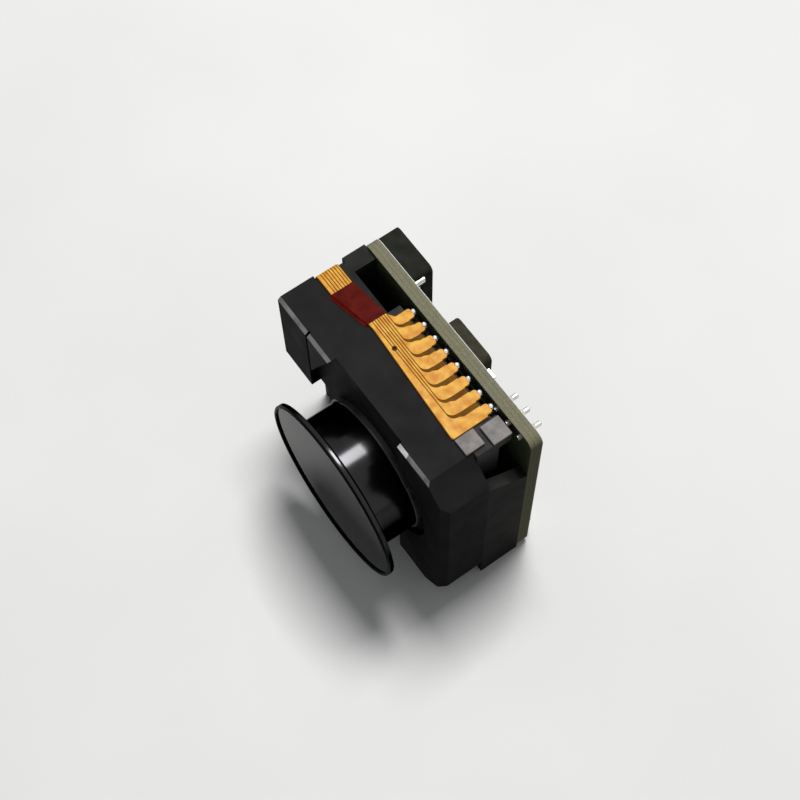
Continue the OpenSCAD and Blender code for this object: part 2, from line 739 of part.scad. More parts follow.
// Bent tails that leave the long side of the connector and lie on the board
module connector_contacts() color([0.85, 0.82, 0.7]) {
    steps = floor((connector_l - 3 * nail_w - 0.6) / contact_pitch);
    first = connector_base + (connector_l - steps * contact_pitch) / 2;
    for (i = [0:steps]) translate([connector_right, board_t, first + (i - 0.15) * contact_pitch]) {
        cube([contact_l, 0.15, 0.3 * contact_pitch]);
        cube([0.12, connector_h * 0.3, 0.3 * contact_pitch]);
    }
}

module connector_nails() color([0.85, 0.85, 0.85])
    for (z = [connector_base + 0.35, connector_top - nail_w - 0.35]) translate([connector_right, board_t, z]) {
        cube([nail_l, 0.15, nail_w]);
        cube([0.15, connector_h * 0.55, nail_w]);
    }

module image_processor() color([0.1, 0.1, 0.1])
    on_back(processor_left, processor_low, processor_w, processor_w, chip_h);

module memory_chip() color([0.12, 0.12, 0.12])
    on_back(memory_right - memory_w, memory_low, memory_w, memory_l, chip_h - chip_step);

module voltage_regulator() color([0.1, 0.1, 0.1])
    on_back(regulator_right - regulator_w, regulator_high - regulator_w, regulator_w, regulator_w, chip_h - chip_step);

module power_inductor() color([0.11, 0.11, 0.11]) slab(board_t, board_t + inductor_h)
    round_rect(inductor_left, inductor_low, inductor_right, inductor_top, inductor_w / 8);

module crystal() color([0.78, 0.78, 0.76]) slab(board_t, board_t + chip_h - chip_step)
    round_rect(crystal_left, crystal_low, crystal_left + crystal_w, crystal_low + crystal_l, 0.35);

module chip_capacitors() color([0.6, 0.45, 0.3]) {
    // Upright ones beside the inductor
    for (down = [0.6, 3]) on_back(inductor_left - capacitor_w - 0.5, inductor_top - down - capacitor_l,
        capacitor_w, capacitor_l, capacitor_w);
    on_back(inductor_right + 0.5, regulator_high + 0.4, capacitor_w, capacitor_l, capacitor_w);
    // Lying ones under the inductor
    for (i = [0:1]) on_back(inductor_left + i * inductor_w / 2, inductor_low - capacitor_w - 0.05,
        capacitor_l, capacitor_w, capacitor_w);
    on_back(processor_left + 4.4 * small_pitch, small_row_z - capacitor_w / 2, capacitor_l, capacitor_w, capacitor_w);
}

module chip_resistors() color([0.08, 0.08, 0.08]) {
    for (i = [0:3]) on_back(processor_left + i * small_pitch, small_row_z - resistor_l / 2,
        resistor_w, resistor_l, resistor_h);
    for (i = [0:1]) on_back(regulator_right + 0.6, regulator_high - resistor_l - i * (regulator_w - resistor_l),
        resistor_w, resistor_l, resistor_h);
}

module board_pins() color([0.8, 0.8, 0.78])
    at_pins() translate([0, 0, -pin_front]) cylinder(r = pin_r, h = pin_front + board_t + pin_l, $fn = 24);

module housing_screws() color([0.7, 0.7, 0.72]) at_screws() difference() {
    union() {
        translate([0, 0, board_t - screw_l]) cylinder(d = screw_d, h = screw_l);
        translate([0, 0, board_t]) cylinder(d = screw_head_d, h = screw_head_t);
    }
    // Cross recess
    for (turn = [0, 90]) rotate([0, 0, turn])
        translate([-0.75, -0.15, board_t + screw_head_t - 0.4]) cube([1.5, 0.3, 1]);
}

in_place() front_housing();
in_place() rear_frame();
in_place() sensor_carrier();
in_place() lens_barrel();
in_place() lens_bezel();
in_place() front_element();
in_place() middle_element();
in_place() stop_ring();
in_place() rear_element();
in_place() rear_retainer();
in_place() lock_ring();
in_place() colour_filter();
in_place() sensor_gasket();
in_place() sensor_glass();
in_place() image_sensor();
in_place() sensor_board();
in_place() film_circuit();
in_place() film_tracks();
in_place() film_tape();
in_place() finger_solder();
in_place() terminal_block();
in_place() block_terminals();
in_place() grey_pads();
in_place() main_board();
in_place() board_connector();
in_place() connector_contacts();
in_place() connector_nails();
in_place() image_processor();
in_place() memory_chip();
in_place() voltage_regulator();
in_place() power_inductor();
in_place() crystal();
in_place() chip_capacitors();
in_place() chip_resistors();
in_place() board_pins();
in_place() housing_screws();
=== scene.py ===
import math
import random

import bmesh
import bpy
from mathutils import Matrix, Vector, noise


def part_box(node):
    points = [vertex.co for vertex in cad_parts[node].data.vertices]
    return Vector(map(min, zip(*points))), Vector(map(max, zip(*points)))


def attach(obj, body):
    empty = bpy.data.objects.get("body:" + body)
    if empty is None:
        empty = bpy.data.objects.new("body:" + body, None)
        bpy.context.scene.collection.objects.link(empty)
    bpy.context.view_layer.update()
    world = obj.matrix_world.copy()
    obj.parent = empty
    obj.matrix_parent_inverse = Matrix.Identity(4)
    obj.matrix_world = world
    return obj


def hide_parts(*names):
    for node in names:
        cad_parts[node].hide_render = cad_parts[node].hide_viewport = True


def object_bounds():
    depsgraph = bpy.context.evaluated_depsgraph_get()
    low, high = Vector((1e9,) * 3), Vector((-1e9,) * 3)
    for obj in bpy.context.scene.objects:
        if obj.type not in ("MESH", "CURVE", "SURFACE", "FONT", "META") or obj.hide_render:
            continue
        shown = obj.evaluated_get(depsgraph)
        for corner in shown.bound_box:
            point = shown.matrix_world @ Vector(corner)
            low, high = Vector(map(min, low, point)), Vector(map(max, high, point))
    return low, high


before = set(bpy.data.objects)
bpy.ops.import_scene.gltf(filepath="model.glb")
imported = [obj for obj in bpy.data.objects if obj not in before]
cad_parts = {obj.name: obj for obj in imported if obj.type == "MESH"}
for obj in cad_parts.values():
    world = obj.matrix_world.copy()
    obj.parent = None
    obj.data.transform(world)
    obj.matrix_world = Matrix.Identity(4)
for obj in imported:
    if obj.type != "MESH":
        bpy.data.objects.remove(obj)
cad_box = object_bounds()


# ---- Table and light ----
# A pale sheet to stand the module on, one soft lamp over its left shoulder and an even pale room.
# The camera looks down on the lens side and the right side from above.
def linear(red, green, blue):
    """A colour given in 0 to 255 steps, as the shaders need it."""
    return tuple((c / 255) ** 2.2 for c in (red, green, blue)) + (1,)


mm = 0.001
module_low, module_high = (Vector(corner) for corner in cad_box)
module_middle = (module_low + module_high) / 2


def placed(name, data):
    """An object of that name, put in the scene."""
    thing = bpy.data.objects.new(name, data)
    bpy.context.collection.objects.link(thing)
    return thing


camera = placed("camera", bpy.data.cameras.new("camera"))
camera_from = Vector((39.42, -26.525, 116.29)) * mm
camera_at = Vector((-1.74, 1.395, 10)) * mm
camera_roll = math.radians(-1.54)
camera.location = camera_from
camera.rotation_euler = (camera_at - camera_from).to_track_quat("-Z", "Y").to_euler()
camera.rotation_euler = (
    camera.rotation_euler.to_matrix() @ Matrix.Rotation(camera_roll, 3, "Z")
).to_euler()
camera.data.lens = 73.21
camera.data.sensor_width = 36
camera.data.clip_start = 0.002
bpy.context.scene.camera = camera
bpy.context.scene.view_settings.view_transform = "Standard"

sheet_half = 0.6
sheet_mesh = bpy.data.meshes.new("sheet")
sheet_mesh.from_pydata(
    [(x * sheet_half, y * sheet_half, module_low.z) for x, y in ((-1, -1), (1, -1), (1, 1), (-1, 1))],
    [], [(0, 1, 2, 3)],
)
sheet = placed("sheet", sheet_mesh)


def blended(finish, low, high, size):
    """A colour that wanders between two, in patches of one size, ready to be linked."""
    nodes, links = finish.node_tree.nodes, finish.node_tree.links
    place = nodes.new("ShaderNodeTexCoord")
    patches = nodes.new("ShaderNodeTexNoise")
    patches.inputs["Scale"].default_value = 1 / size
    patches.inputs["Detail"].default_value = 3
    ramp = nodes.new("ShaderNodeValToRGB")
    ramp.color_ramp.elements[0].position = 0.35
    ramp.color_ramp.elements[0].color = low
    ramp.color_ramp.elements[1].position = 0.65
    ramp.color_ramp.elements[1].color = high
    links.new(place.outputs["Object"], patches.inputs["Vector"])
    links.new(patches.outputs["Fac"], ramp.inputs["Fac"])
    return ramp.outputs["Color"]


def grained(finish, size, depth):
    """Gives a finish a fine grain that catches the light."""
    nodes, links = finish.node_tree.nodes, finish.node_tree.links
    place = nodes.new("ShaderNodeTexCoord")
    grain = nodes.new("ShaderNodeTexNoise")
    grain.inputs["Scale"].default_value = 1 / size
    grain.inputs["Detail"].default_value = 2
    bump = nodes.new("ShaderNodeBump")
    bump.inputs["Strength"].default_value = 1
    bump.inputs["Distance"].default_value = depth
    links.new(place.outputs["Object"], grain.inputs["Vector"])
    links.new(grain.outputs["Fac"], bump.inputs["Height"])
    links.new(bump.outputs["Normal"], nodes["Principled BSDF"].inputs["Normal"])


def finish_of(name, dark, light, patch, gloss, grain=None, **constant):
    """A finish in two close colours, with a gloss that varies between two roughnesses."""
    finish = bpy.data.materials.new(name)
    finish.use_nodes = True
    shader = finish.node_tree.nodes["Principled BSDF"]
    finish.node_tree.links.new(blended(finish, dark, light, patch), shader.inputs["Base Color"])
    duller = [tuple([rough] * 3) + (1,) for rough in gloss]
    finish.node_tree.links.new(blended(finish, *duller, patch * 0.7), shader.inputs["Roughness"])
    if grain:
        grained(finish, *grain)
    for socket, value in constant.items():
        shader.inputs[socket.replace("_", " ")].default_value = value
    return finish


sheet_paper = finish_of(
    "pale_sheet", linear(222, 222, 220), linear(227, 227, 225), 30 * mm, (0.75, 0.85),
    (0.4 * mm, 0.01 * mm), Specular_IOR_Level=0.1,
)
sheet_mesh.materials.append(sheet_paper)


def seen_or_lit(tree):
    """1 where the camera, a gloss or a glass looks, and 0 where a surface only throws light back."""
    ray = tree.nodes.new("ShaderNodeLightPath")
    glossy_too, clear_too = (tree.nodes.new("ShaderNodeMath") for _ in range(2))
    glossy_too.operation = clear_too.operation = "MAXIMUM"
    tree.links.new(ray.outputs["Is Camera Ray"], glossy_too.inputs[0])
    tree.links.new(ray.outputs["Is Glossy Ray"], glossy_too.inputs[1])
    tree.links.new(glossy_too.outputs[0], clear_too.inputs[0])
    tree.links.new(ray.outputs["Is Transmission Ray"], clear_too.inputs[1])
    return clear_too.outputs[0]


# The sheet throws less light back on the module than its pale look would.
sheet_nodes, sheet_links = sheet_paper.node_tree.nodes, sheet_paper.node_tree.links
sheet_shader = sheet_nodes["Principled BSDF"]
sheet_tone = sheet_nodes.new("ShaderNodeMix")
sheet_tone.data_type = "RGBA"
sheet_tone.inputs["A"].default_value = linear(120, 120, 118)
sheet_links.new(sheet_shader.inputs["Base Color"].links[0].from_socket, sheet_tone.inputs["B"])
sheet_links.new(seen_or_lit(sheet_paper.node_tree), sheet_tone.inputs["Factor"])
sheet_links.new(sheet_tone.outputs["Result"], sheet_shader.inputs["Base Color"])

lamp = placed("lamp", bpy.data.lights.new("lamp", "AREA"))
lamp.data.shape = "SQUARE"
lamp.data.size = 0.11
lamp.data.energy = 1.2
lamp_side = Vector((-0.155, 0.238, 0.959)).normalized()
lamp_away = 0.35
lamp_length = (Vector((0, 1, 0)) - lamp_side.y * lamp_side).normalized()
lamp.location = module_middle + lamp_side * lamp_away
lamp.rotation_euler = Matrix((
    lamp_length.cross(lamp_side), lamp_length, lamp_side
)).transposed().to_euler()

room = bpy.data.worlds.new("room")
bpy.context.scene.world = room
room.use_nodes = True
room_nodes, room_links = room.node_tree.nodes, room.node_tree.links
room_glow = room_nodes["Background"]
room_glow.inputs["Color"].default_value = linear(245, 247, 250)
room_glow.inputs["Strength"].default_value = 0.25
room_seen = room_nodes.new("ShaderNodeBackground")
room_seen.inputs["Color"].default_value = (1, 1, 1, 1)
room_seen.inputs["Strength"].default_value = 1
room_mix = room_nodes.new("ShaderNodeMixShader")
room_links.new(seen_or_lit(room.node_tree), room_mix.inputs["Fac"])
room_links.new(room_glow.outputs[0], room_mix.inputs[1])
room_links.new(room_seen.outputs[0], room_mix.inputs[2])
room_links.new(room_mix.outputs[0], room_nodes["World Output"].inputs["Surface"])


# ---- Front housing ----
# The moulded block that holds the lens: a square back plate, a raised ear at the upper left with a
# groove and a gusset beside it, and a land on the right. It is of glass-filled black plastic.
def shown(piece, node):
    """The piece is part of the module and stands for a CAD node, whose own mesh is hidden."""
    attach(piece, "root")
    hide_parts(node)
    return piece


def smooth(mesh, sharpest=32):
    """Smooth shading, but for edges sharper than an angle in degrees."""
    mesh.shade_smooth()
    mesh.set_sharp_from_angle(angle=math.radians(sharpest))


def mesh_of(shape):
    """The mesh of a shape that is done."""
    mesh = bpy.data.meshes.new("shape")
    shape.to_mesh(mesh)
    shape.free()
    return mesh


def block(outline, across, low, high):
    """A straight block: an outline in two axes, drawn along the third from low to high."""
    lift = {
        "X": lambda a, b, t: (t, a, b), "Y": lambda a, b, t: (a, t, b), "Z": lambda a, b, t: (a, b, t),
    }[across]
    count = len(outline)
    mesh = bpy.data.meshes.new("block")
    mesh.from_pydata(
        [lift(*point, low) for point in outline] + [lift(*point, high) for point in outline], [],
        [tuple(range(count)), tuple(range(2 * count - 1, count - 1, -1))]
        + [(k, k + count, (k + 1) % count + count, (k + 1) % count) for k in range(count)],
    )
    shape = bmesh.new()
    shape.from_mesh(mesh)
    bmesh.ops.recalc_face_normals(shape, faces=shape.faces)
    return mesh_of(shape)


def boxed(x0, y0, z0, x1, y1, z1):
    """A block between two corners, for joining or cutting."""
    return block([(x0, y0), (x1, y0), (x1, y1), (x0, y1)], "Z", z0, z1)


def as_changed(piece):
    """The mesh of a piece with its modifiers worked in."""
    bpy.context.view_layer.update()
    return bpy.data.meshes.new_from_object(
        piece.evaluated_get(bpy.context.evaluated_depsgraph_get())
    )


def worked(mesh, steps):
    """Joins blocks to a mesh or cuts them from it, one after the other, and returns the new mesh."""
    piece = placed("work", mesh)
    for how, tool in steps:
        helper = placed("tool", tool)
        change = piece.modifiers.new(how, "BOOLEAN")
        change.operation, change.solver, change.object = how, "EXACT", helper
        piece.data = as_changed(piece)
        piece.modifiers.clear()
        bpy.data.objects.remove(helper)
    mesh = piece.data
    bpy.data.objects.remove(piece)
    return mesh


def whole_faces(mesh):
    """Welds a mesh and takes its flat faces together again."""
    shape = bmesh.new()
    shape.from_mesh(mesh)
    bmesh.ops.remove_doubles(shape, verts=shape.verts, dist=2e-7)
    bmesh.ops.dissolve_limit(
        shape, angle_limit=math.radians(0.4), verts=shape.verts, edges=shape.edges
    )
    shape.to_mesh(mesh)
    shape.free()
    return mesh


def plain(node, steps=()):
    """A CAD node's own shape in whole faces, with blocks joined to it or cut from it."""
    mesh = whole_faces(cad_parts[node].data.copy())
    return whole_faces(worked(mesh, steps)) if steps else mesh


def softened(name, mesh, edge, finish, steps=2, sharpest=35):
    """A piece from a mesh whose edges are rounded as a mould or a cutter leaves them."""
    piece = placed(name, mesh)
    soften = piece.modifiers.new("edges", "BEVEL")
    soften.width = edge
    soften.segments = steps
    soften.limit_method = "ANGLE"
    soften.angle_limit = math.radians(sharpest)
    soften.harden_normals = True
    soften.miter_outer = "MITER_ARC"
    smooth(mesh)
    piece.data = as_changed(piece)
    piece.modifiers.clear()
    piece.data.materials.clear()
    piece.data.materials.append(finish)
    return piece


def rounded(node, edge, finish, steps=2, work=()):
    """A CAD node's own shape, worked with blocks where it needs it, with its edges rounded."""
    return shown(softened(node + "_rounded", plain(node, work), edge, finish, steps), node)


moulded_black = finish_of(
    "moulded_black", linear(38, 39, 38), linear(44, 45, 44), 2.4 * mm, (0.4, 0.5),
    (0.05 * mm, 0.002 * mm), Specular_IOR_Level=0.003,
)
housing_low, housing_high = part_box("front_housing")
left_x, right_x, top_z = housing_low.x, housing_high.x, housing_high.z
ear_y = housing_low.y
seat_y = ear_y + 0.65 * mm
land_y = seat_y - 0.4 * mm
ear_low_z = top_z - 8 * mm
groove_x, gusset_x, gusset_end = (left_x + away * mm for away in (3.35, 3.55, 6.1))
groove_depth = 0.35 * mm
gusset_low_z = top_z - 5.3 * mm
land_w = 5.32 * mm
bevel = 0.25 * mm
side_bevel = 0.5 * mm
sunk = 0.3 * mm
lap = 0.05 * mm
far = 3 * mm


def top_bevel(front_y, start_x, end_x):
    """A cutter for the bevel along a top front edge."""
    return "DIFFERENCE", block([
        (front_y - far, top_z - bevel - far), (front_y + bevel + far, top_z + far),
        (front_y - far, top_z + far),
    ], "X", start_x, end_x)


housing = rounded("front_housing", 0.06 * mm, moulded_black, work=[
    # The ear ends in a groove, with a three-cornered gusset behind it.
    ("DIFFERENCE", boxed(
        groove_x, ear_y - far, ear_low_z - far, gusset_end + sunk, seat_y, top_z + far
    )),
    ("UNION", boxed(left_x, ear_y, ear_low_z, groove_x, seat_y + sunk, ear_low_z + 1 * mm)),
    ("UNION", block([
        (groove_x - lap, gusset_low_z), (gusset_x, gusset_low_z), (gusset_end, top_z),
        (groove_x - lap, top_z),
    ], "Y", ear_y, seat_y + sunk)),
    ("DIFFERENCE", boxed(
        groove_x, ear_y - far, ear_low_z - far, gusset_x, ear_y + groove_depth, top_z + far
    )),
    # Small bevels run along the top front edges and down the right front edge.
    top_bevel(ear_y, left_x - far, gusset_end + 0.02 * mm),
    top_bevel(land_y, right_x - land_w, right_x + far),
    ("DIFFERENCE", block([
        (right_x - side_bevel - far, land_y - far), (right_x + far, land_y - far),
        (right_x + far, land_y + side_bevel + far),
    ], "Z", -far, top_z + far)),
])

# The top bevels get a pale colour that is a painted highlight, standing in for the lamp's glint on
# them; a brighter painted highlight spot sits at the land's left corner.
edge_highlight = finish_of(
    "edge_highlight", linear(92, 93, 92), linear(132, 133, 132), 1.1 * mm, (0.4, 0.55),
    (0.05 * mm, 0.003 * mm), Specular_IOR_Level=0.1,
)
corner_highlight = finish_of(
    "corner_highlight", linear(176, 177, 176), linear(212, 213, 212), 0.4 * mm, (0.4, 0.55),
    (0.05 * mm, 0.003 * mm), Specular_IOR_Level=0.1,
)
housing.data.materials.append(edge_highlight)
housing.data.materials.append(corner_highlight)
# The brighter painted highlight spot runs along the land's bevel between these two places; the mesh is
# cut at its end.
highlight_start, highlight_end = right_x - 5.3 * mm, right_x - 4.35 * mm
split = bmesh.new()
split.from_mesh(housing.data)
bmesh.ops.bisect_plane(
    split, geom=[*split.verts, *split.edges, *split.faces], dist=1e-8,
    plane_co=(highlight_end, 0, top_z), plane_no=(1, 0, 0.35),
)
split.to_mesh(housing.data)
split.free()
# Bevel faces that face up and to the front take the painted highlight colour, and the brighter one at
# the land's left corner.
for face in housing.data.polygons:
    faces_up_front = face.normal.y < -0.4 and face.normal.z > 0.4 and abs(face.normal.x) < 0.3
    if faces_up_front and face.center.z > top_z - bevel:
        in_highlight = face.center.y < land_y + bevel and highlight_start < face.center.x < highlight_end + lap
        face.material_index = 2 if in_highlight else 1

# ---- Rear frame ----
# The open frame between the housing and the main board, in a slightly lighter black plastic.
# Its left wall carries the film's side leg, its right wall is lower, and it has two screw bosses.
frame_plastic = finish_of(
    "frame_plastic", linear(42, 43, 41), linear(50, 51, 49), 2 * mm, (0.42, 0.5),
    (0.05 * mm, 0.002 * mm), Specular_IOR_Level=0.004,
)
rear_low, rear_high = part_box("rear_frame")
wall_x = rear_low.x + 0.5 * mm
bar_end, bar_w, bar_h = -4.2 * mm, 1.5 * mm, 1 * mm
corner_w, corner_h = 0.9 * mm, 3 * mm
rounded("rear_frame", 0.07 * mm, frame_plastic, work=[
    # A bar runs along the top under the film's neck, and the left corner is thicker.
    ("UNION", boxed(
        wall_x, rear_low.y, rear_high.z - bar_h, bar_end, rear_low.y + bar_w, rear_high.z
    )),
    ("UNION", boxed(
        wall_x, rear_low.y + 1 * mm, rear_high.z - corner_h, wall_x + corner_w, rear_high.y, rear_high.z
    )),
])

# ---- Lens barrel ----
# A turned and blacked metal barrel, polished on the outside, with a flared head. Its rear end is turned
# down plain to the size of the thread that screws into the housing, and its bore has steps for the
# elements.
bezel_low, bezel_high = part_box("lens_bezel")
lens_x = (bezel_low.x + bezel_high.x) / 2
lens_z = (bezel_low.z + bezel_high.z) / 2


def eased(outline, edge, steps=3):
    """A closed outline with each of its corners rounded."""
    out = []
    for i, corner in enumerate(outline):
        here = Vector(corner)
        before, after = Vector(outline[i - 1]), Vector(outline[(i + 1) % len(outline)])
        cut = min(edge, (before - here).length / 2.2, (after - here).length / 2.2)
        start = here + (before - here).normalized() * cut
        end = here + (after - here).normalized() * cut
        for k in range(steps + 1):
            t = k / steps
            out.append((1 - t) ** 2 * start + 2 * t * (1 - t) * here + t ** 2 * end)
    return out


def spun(outline, x, z, around=24, closed=True):
    """A mesh turned about a line along y through (x, z), from an outline of (radius, y) points."""
    shape = bmesh.new()
    rings = []
    for radius, y in outline:
        if radius < 1e-9:
            rings.append([shape.verts.new((x, y, z))])
            continue
        turn = [math.tau * k / around for k in range(around)]
        rings.append([
            shape.verts.new((x + radius * math.sin(a), y, z + radius * math.cos(a))) for a in turn
        ])
    pairs = zip(rings, rings[1:] + rings[:1]) if closed else zip(rings, rings[1:])
    for one, other in pairs:
        for k in range(around):
            corners = [one[k % len(one)], one[(k + 1) % len(one)],
                       other[(k + 1) % len(other)], other[k % len(other)]]
            corners = [c for i, c in enumerate(corners) if c not in corners[:i]]
            if len(corners) > 2:
                shape.faces.new(corners)
    bmesh.ops.recalc_face_normals(shape, faces=shape.faces)
    return mesh_of(shape)


def turned(name, outline, finish, closed=True):
    """A piece turned about the lens axis."""
    mesh = spun(outline, lens_x, lens_z, around=160, closed=closed)
    smooth(mesh, 25)
    mesh.materials.append(finish)
    return placed(name, mesh)


barrel_low, barrel_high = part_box("lens_barrel")
inner_low, inner_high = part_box("middle_element")
ring_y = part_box("lock_ring")[0].y
head_y = barrel_low.y
head_r = (barrel_high.x - barrel_low.x) / 2
head_edge, head_thick = 0.3 * mm, 0.57 * mm
slope_r = head_r - 0.9 * mm
glass_r = 6.97 * mm
seat_r = glass_r + 0.05 * mm
glass_seat = head_y + 0.22 * mm
neck_r = 5.2 * mm
thread_r = 5 * mm
lip_r = 3.6 * mm
lip_y = inner_low.y - 0.6 * mm
inner_r = (inner_high.x - inner_low.x) / 2
bore_r = inner_r + 0.02 * mm
barrel_black = finish_of(
    "barrel_black", linear(46, 46, 47), linear(50, 50, 51), 2.5 * mm, (0.14, 0.17),
    (0.06 * mm, 0.00004 * mm), Metallic=1, Specular_Tint=(0, 0, 0, 1),
)
shown(turned("barrel", eased([
    (seat_r, head_y), (head_r, head_y), (head_r, head_y + head_edge),
    (slope_r, head_y + head_thick), (neck_r, head_y + head_thick), (neck_r, ring_y),
    (thread_r, ring_y), (thread_r, barrel_high.y), (bore_r, barrel_high.y),
    (bore_r, inner_low.y), (lip_r, inner_low.y), (lip_r, lip_y), (bore_r, lip_y),
    (bore_r, glass_seat), (seat_r, glass_seat),
], 0.05 * mm), barrel_black), "lens_barrel")

# ---- Lens elements, stop and retainers ----
# A wide coated front glass in the head and two smaller elements in the bore, with a blacked ring
# and light stop between them. A retainer behind and a thin bezel in front hold them in.
def bowl(edge_r, edge_y, rise, steps=24):
    """Points over one glass face from the axis to its edge; a rise towards the front is negative."""
    ball_r = (edge_r ** 2 + rise ** 2) / (2 * abs(rise))
    side = math.copysign(1, rise)
    return [(
        edge_r * k / steps,
        edge_y + rise - side * (ball_r - math.sqrt(ball_r ** 2 - (edge_r * k / steps) ** 2)),
    ) for k in range(steps + 1)]


coated_glass = finish_of(
    "coated_glass", linear(60, 66, 64), linear(72, 76, 74), 3 * mm, (0.03, 0.06),
    Transmission_Weight=0.95, IOR=1.1,
)
inner_glass = finish_of(
    "inner_glass", linear(228, 238, 236), linear(240, 246, 244), 3 * mm, (0.0, 0.02),
    Transmission_Weight=1, IOR=1.6, Thin_Film_Thickness=420, Thin_Film_IOR=1.38,
)
rim_in, rim_out = 6.87 * mm, (bezel_high.x - bezel_low.x) / 2
front_rise = 0.04 * mm
front_hollow = 0.7 * mm
shown(turned("front_glass", [
    *bowl(rim_in, head_y, -front_rise), (glass_r, head_y), (glass_r, glass_seat),
    (inner_r, glass_seat), *reversed(bowl(inner_r, lip_y, -front_hollow)),
], coated_glass, closed=False), "front_element")
for node, front, back in (
    ("middle_element", 0.25 * mm, -0.3 * mm), ("rear_element", 0.2 * mm, -0.25 * mm),
):
    low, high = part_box(node)
    edge_r = (high.x - low.x) / 2
    shown(turned(node + "_glass", [
        *bowl(edge_r, low.y, front), *reversed(bowl(edge_r, high.y, back)),
    ], inner_glass, closed=False), node)

bezel_black = finish_of(
    "bezel_black", linear(10, 10, 11), linear(15, 15, 16), 2 * mm, (0.3, 0.4),
    (0.1 * mm, 0.001 * mm), Specular_IOR_Level=0.02,
)
shown(turned("bezel", eased([
    (rim_in, bezel_high.y - 0.09 * mm), (rim_in + 0.06 * mm, bezel_low.y),
    (rim_out - 0.06 * mm, bezel_low.y), (rim_out, bezel_low.y + 0.08 * mm),
    (rim_out, bezel_high.y), (rim_in, bezel_high.y),
], 0.02 * mm), bezel_black), "lens_bezel")

blacked = finish_of(
    "blacked_metal", linear(20, 20, 21), linear(28, 28, 29), 1.2 * mm, (0.35, 0.5),
    (0.08 * mm, 0.002 * mm),
)
rounded("stop_ring", 0.03 * mm, blacked)
rounded("rear_retainer", 0.03 * mm, blacked)
rounded("lock_ring", 0.05 * mm, blacked)

# ---- Filter, sensor and carrier ----
# The carrier is a moulded black frame behind the housing. It holds the blue-green filter in front,
# a foam gasket, and the image sensor on its own small green board; its shelf carries the film.
carrier_black = finish_of(
    "carrier_black", linear(20, 20, 21), linear(26, 26, 27), 1.4 * mm, (0.5, 0.6),
    (0.05 * mm, 0.002 * mm), Specular_IOR_Level=0.15,
)
rounded("sensor_carrier", 0.07 * mm, carrier_black)
filter_glass = finish_of(
    "filter_glass", linear(150, 215, 215), linear(165, 225, 225), 3 * mm, (0.0, 0.02),
    Transmission_Weight=1, IOR=1.52,
)
rounded("colour_filter", 0.03 * mm, filter_glass)
clear_cover = finish_of(
    "clear_cover", linear(235, 242, 242), linear(243, 248, 248), 3 * mm, (0.0, 0.02),
    Transmission_Weight=1, IOR=1.5,
)
rounded("sensor_glass", 0.03 * mm, clear_cover)
gasket_foam = finish_of(
    "gasket_foam", linear(34, 34, 35), linear(48, 48, 49), 0.3 * mm, (0.8, 0.95),
    (0.06 * mm, 0.01 * mm),
)
rounded("sensor_gasket", 0.03 * mm, gasket_foam)
sensor_package = finish_of(
    "sensor_package", linear(46, 52, 60), linear(60, 66, 76), 1 * mm, (0.25, 0.4),
    (0.03 * mm, 0.001 * mm),
)
rounded("image_sensor", 0.05 * mm, sensor_package)
sensor_board_mask = finish_of(
    "sensor_board_mask", linear(22, 74, 46), linear(28, 86, 54), 1 * mm, (0.3, 0.42),
    (0.08 * mm, 0.002 * mm),
)
rounded("sensor_board", 0.03 * mm, sensor_board_mask)

# ---- Film circuit ----
# An amber polyimide film with copper tracks on it. It comes from the sensor board through the
# frame's slot, up the left side and over the top, where its neck widens into eight soldered fingers.
film_brown = finish_of(
    "film_brown", linear(92, 60, 12), linear(108, 74, 20), 0.8 * mm, (0.4, 0.5),
    (0.12 * mm, 0.001 * mm), Specular_IOR_Level=0.03,
)
film_low, film_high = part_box("film_circuit")
face_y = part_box("main_board")[0].y
film_t, copper_t, bend_r = 0.12 * mm, 0.03 * mm, 0.5 * mm
bend_x = film_low.x + bend_r
bend_z = top_z + film_t - bend_r
# The flat part is drawn in millimetres from the module's centre line and the board's front face.
neck_front, neck_back, wide_back = -4.2, -2.4, -1.95
neck_end, wide_start = -7.45, -4.15
front_slant, back_slant = 0.75, 0.45
fingers, pitch, finger_w, finger_root, finger_tip = 8, 1.25, 0.86, -0.95, -0.45
tip_r = 0.22
last_finger = film_high.x / mm - 0.55
finger_x = [last_finger - (fingers - 1 - k) * pitch for k in range(fingers)]
hole_x, hole_y, film_hole_r, track_hole_r = -1.62, -3.04, 0.14, 0.2


def film_edge(inset):
    """The flat part's outline seen from above: neck, wide part and fingers, drawn in by an inset."""
    right = film_high.x / mm - inset
    half = finger_w / 2 - inset
    points = [
        (bend_x / mm, neck_front + inset), (neck_end, neck_front + inset),
        (wide_start, neck_front + front_slant + inset), (-3.6, -3.4 + inset),
        (right - 0.15, -3.9 + inset), (right, -3.78 + inset), (right, finger_root),
    ]
    for x in reversed(finger_x):
        for side, turn in ((1, (0, 30, 60, 90)), (-1, (90, 60, 30, 0))):
            foot = [(x + side * half, finger_root)]
            curve = [(
                x + side * (half - tip_r + tip_r * math.cos(math.radians(a))),
                finger_tip - tip_r + tip_r * math.sin(math.radians(a)),
            ) for a in turn]
            points += foot + curve if side > 0 else curve + foot
    return points + [
        (finger_x[0] - half, -1.6), (wide_start, wide_back - inset),
        (neck_end, neck_back - inset), (bend_x / mm, neck_back - inset),
    ]


def flat_block(points, low, high):
    """A block from an outline of the flat part."""
    return block([(x * mm, face_y + y * mm) for x, y in points], "Z", low, high)


def through(points):
    """A cutter right through the flat part."""
    return "DIFFERENCE", flat_block(points, top_z - far, top_z + far)


def round_hole(radius):
    """A cutter for the hole that locates the film, in front of the fingers."""
    turn = [math.tau * k / 20 for k in range(20)]
    return through([(hole_x + radius * math.cos(a), hole_y + radius * math.sin(a)) for a in turn])


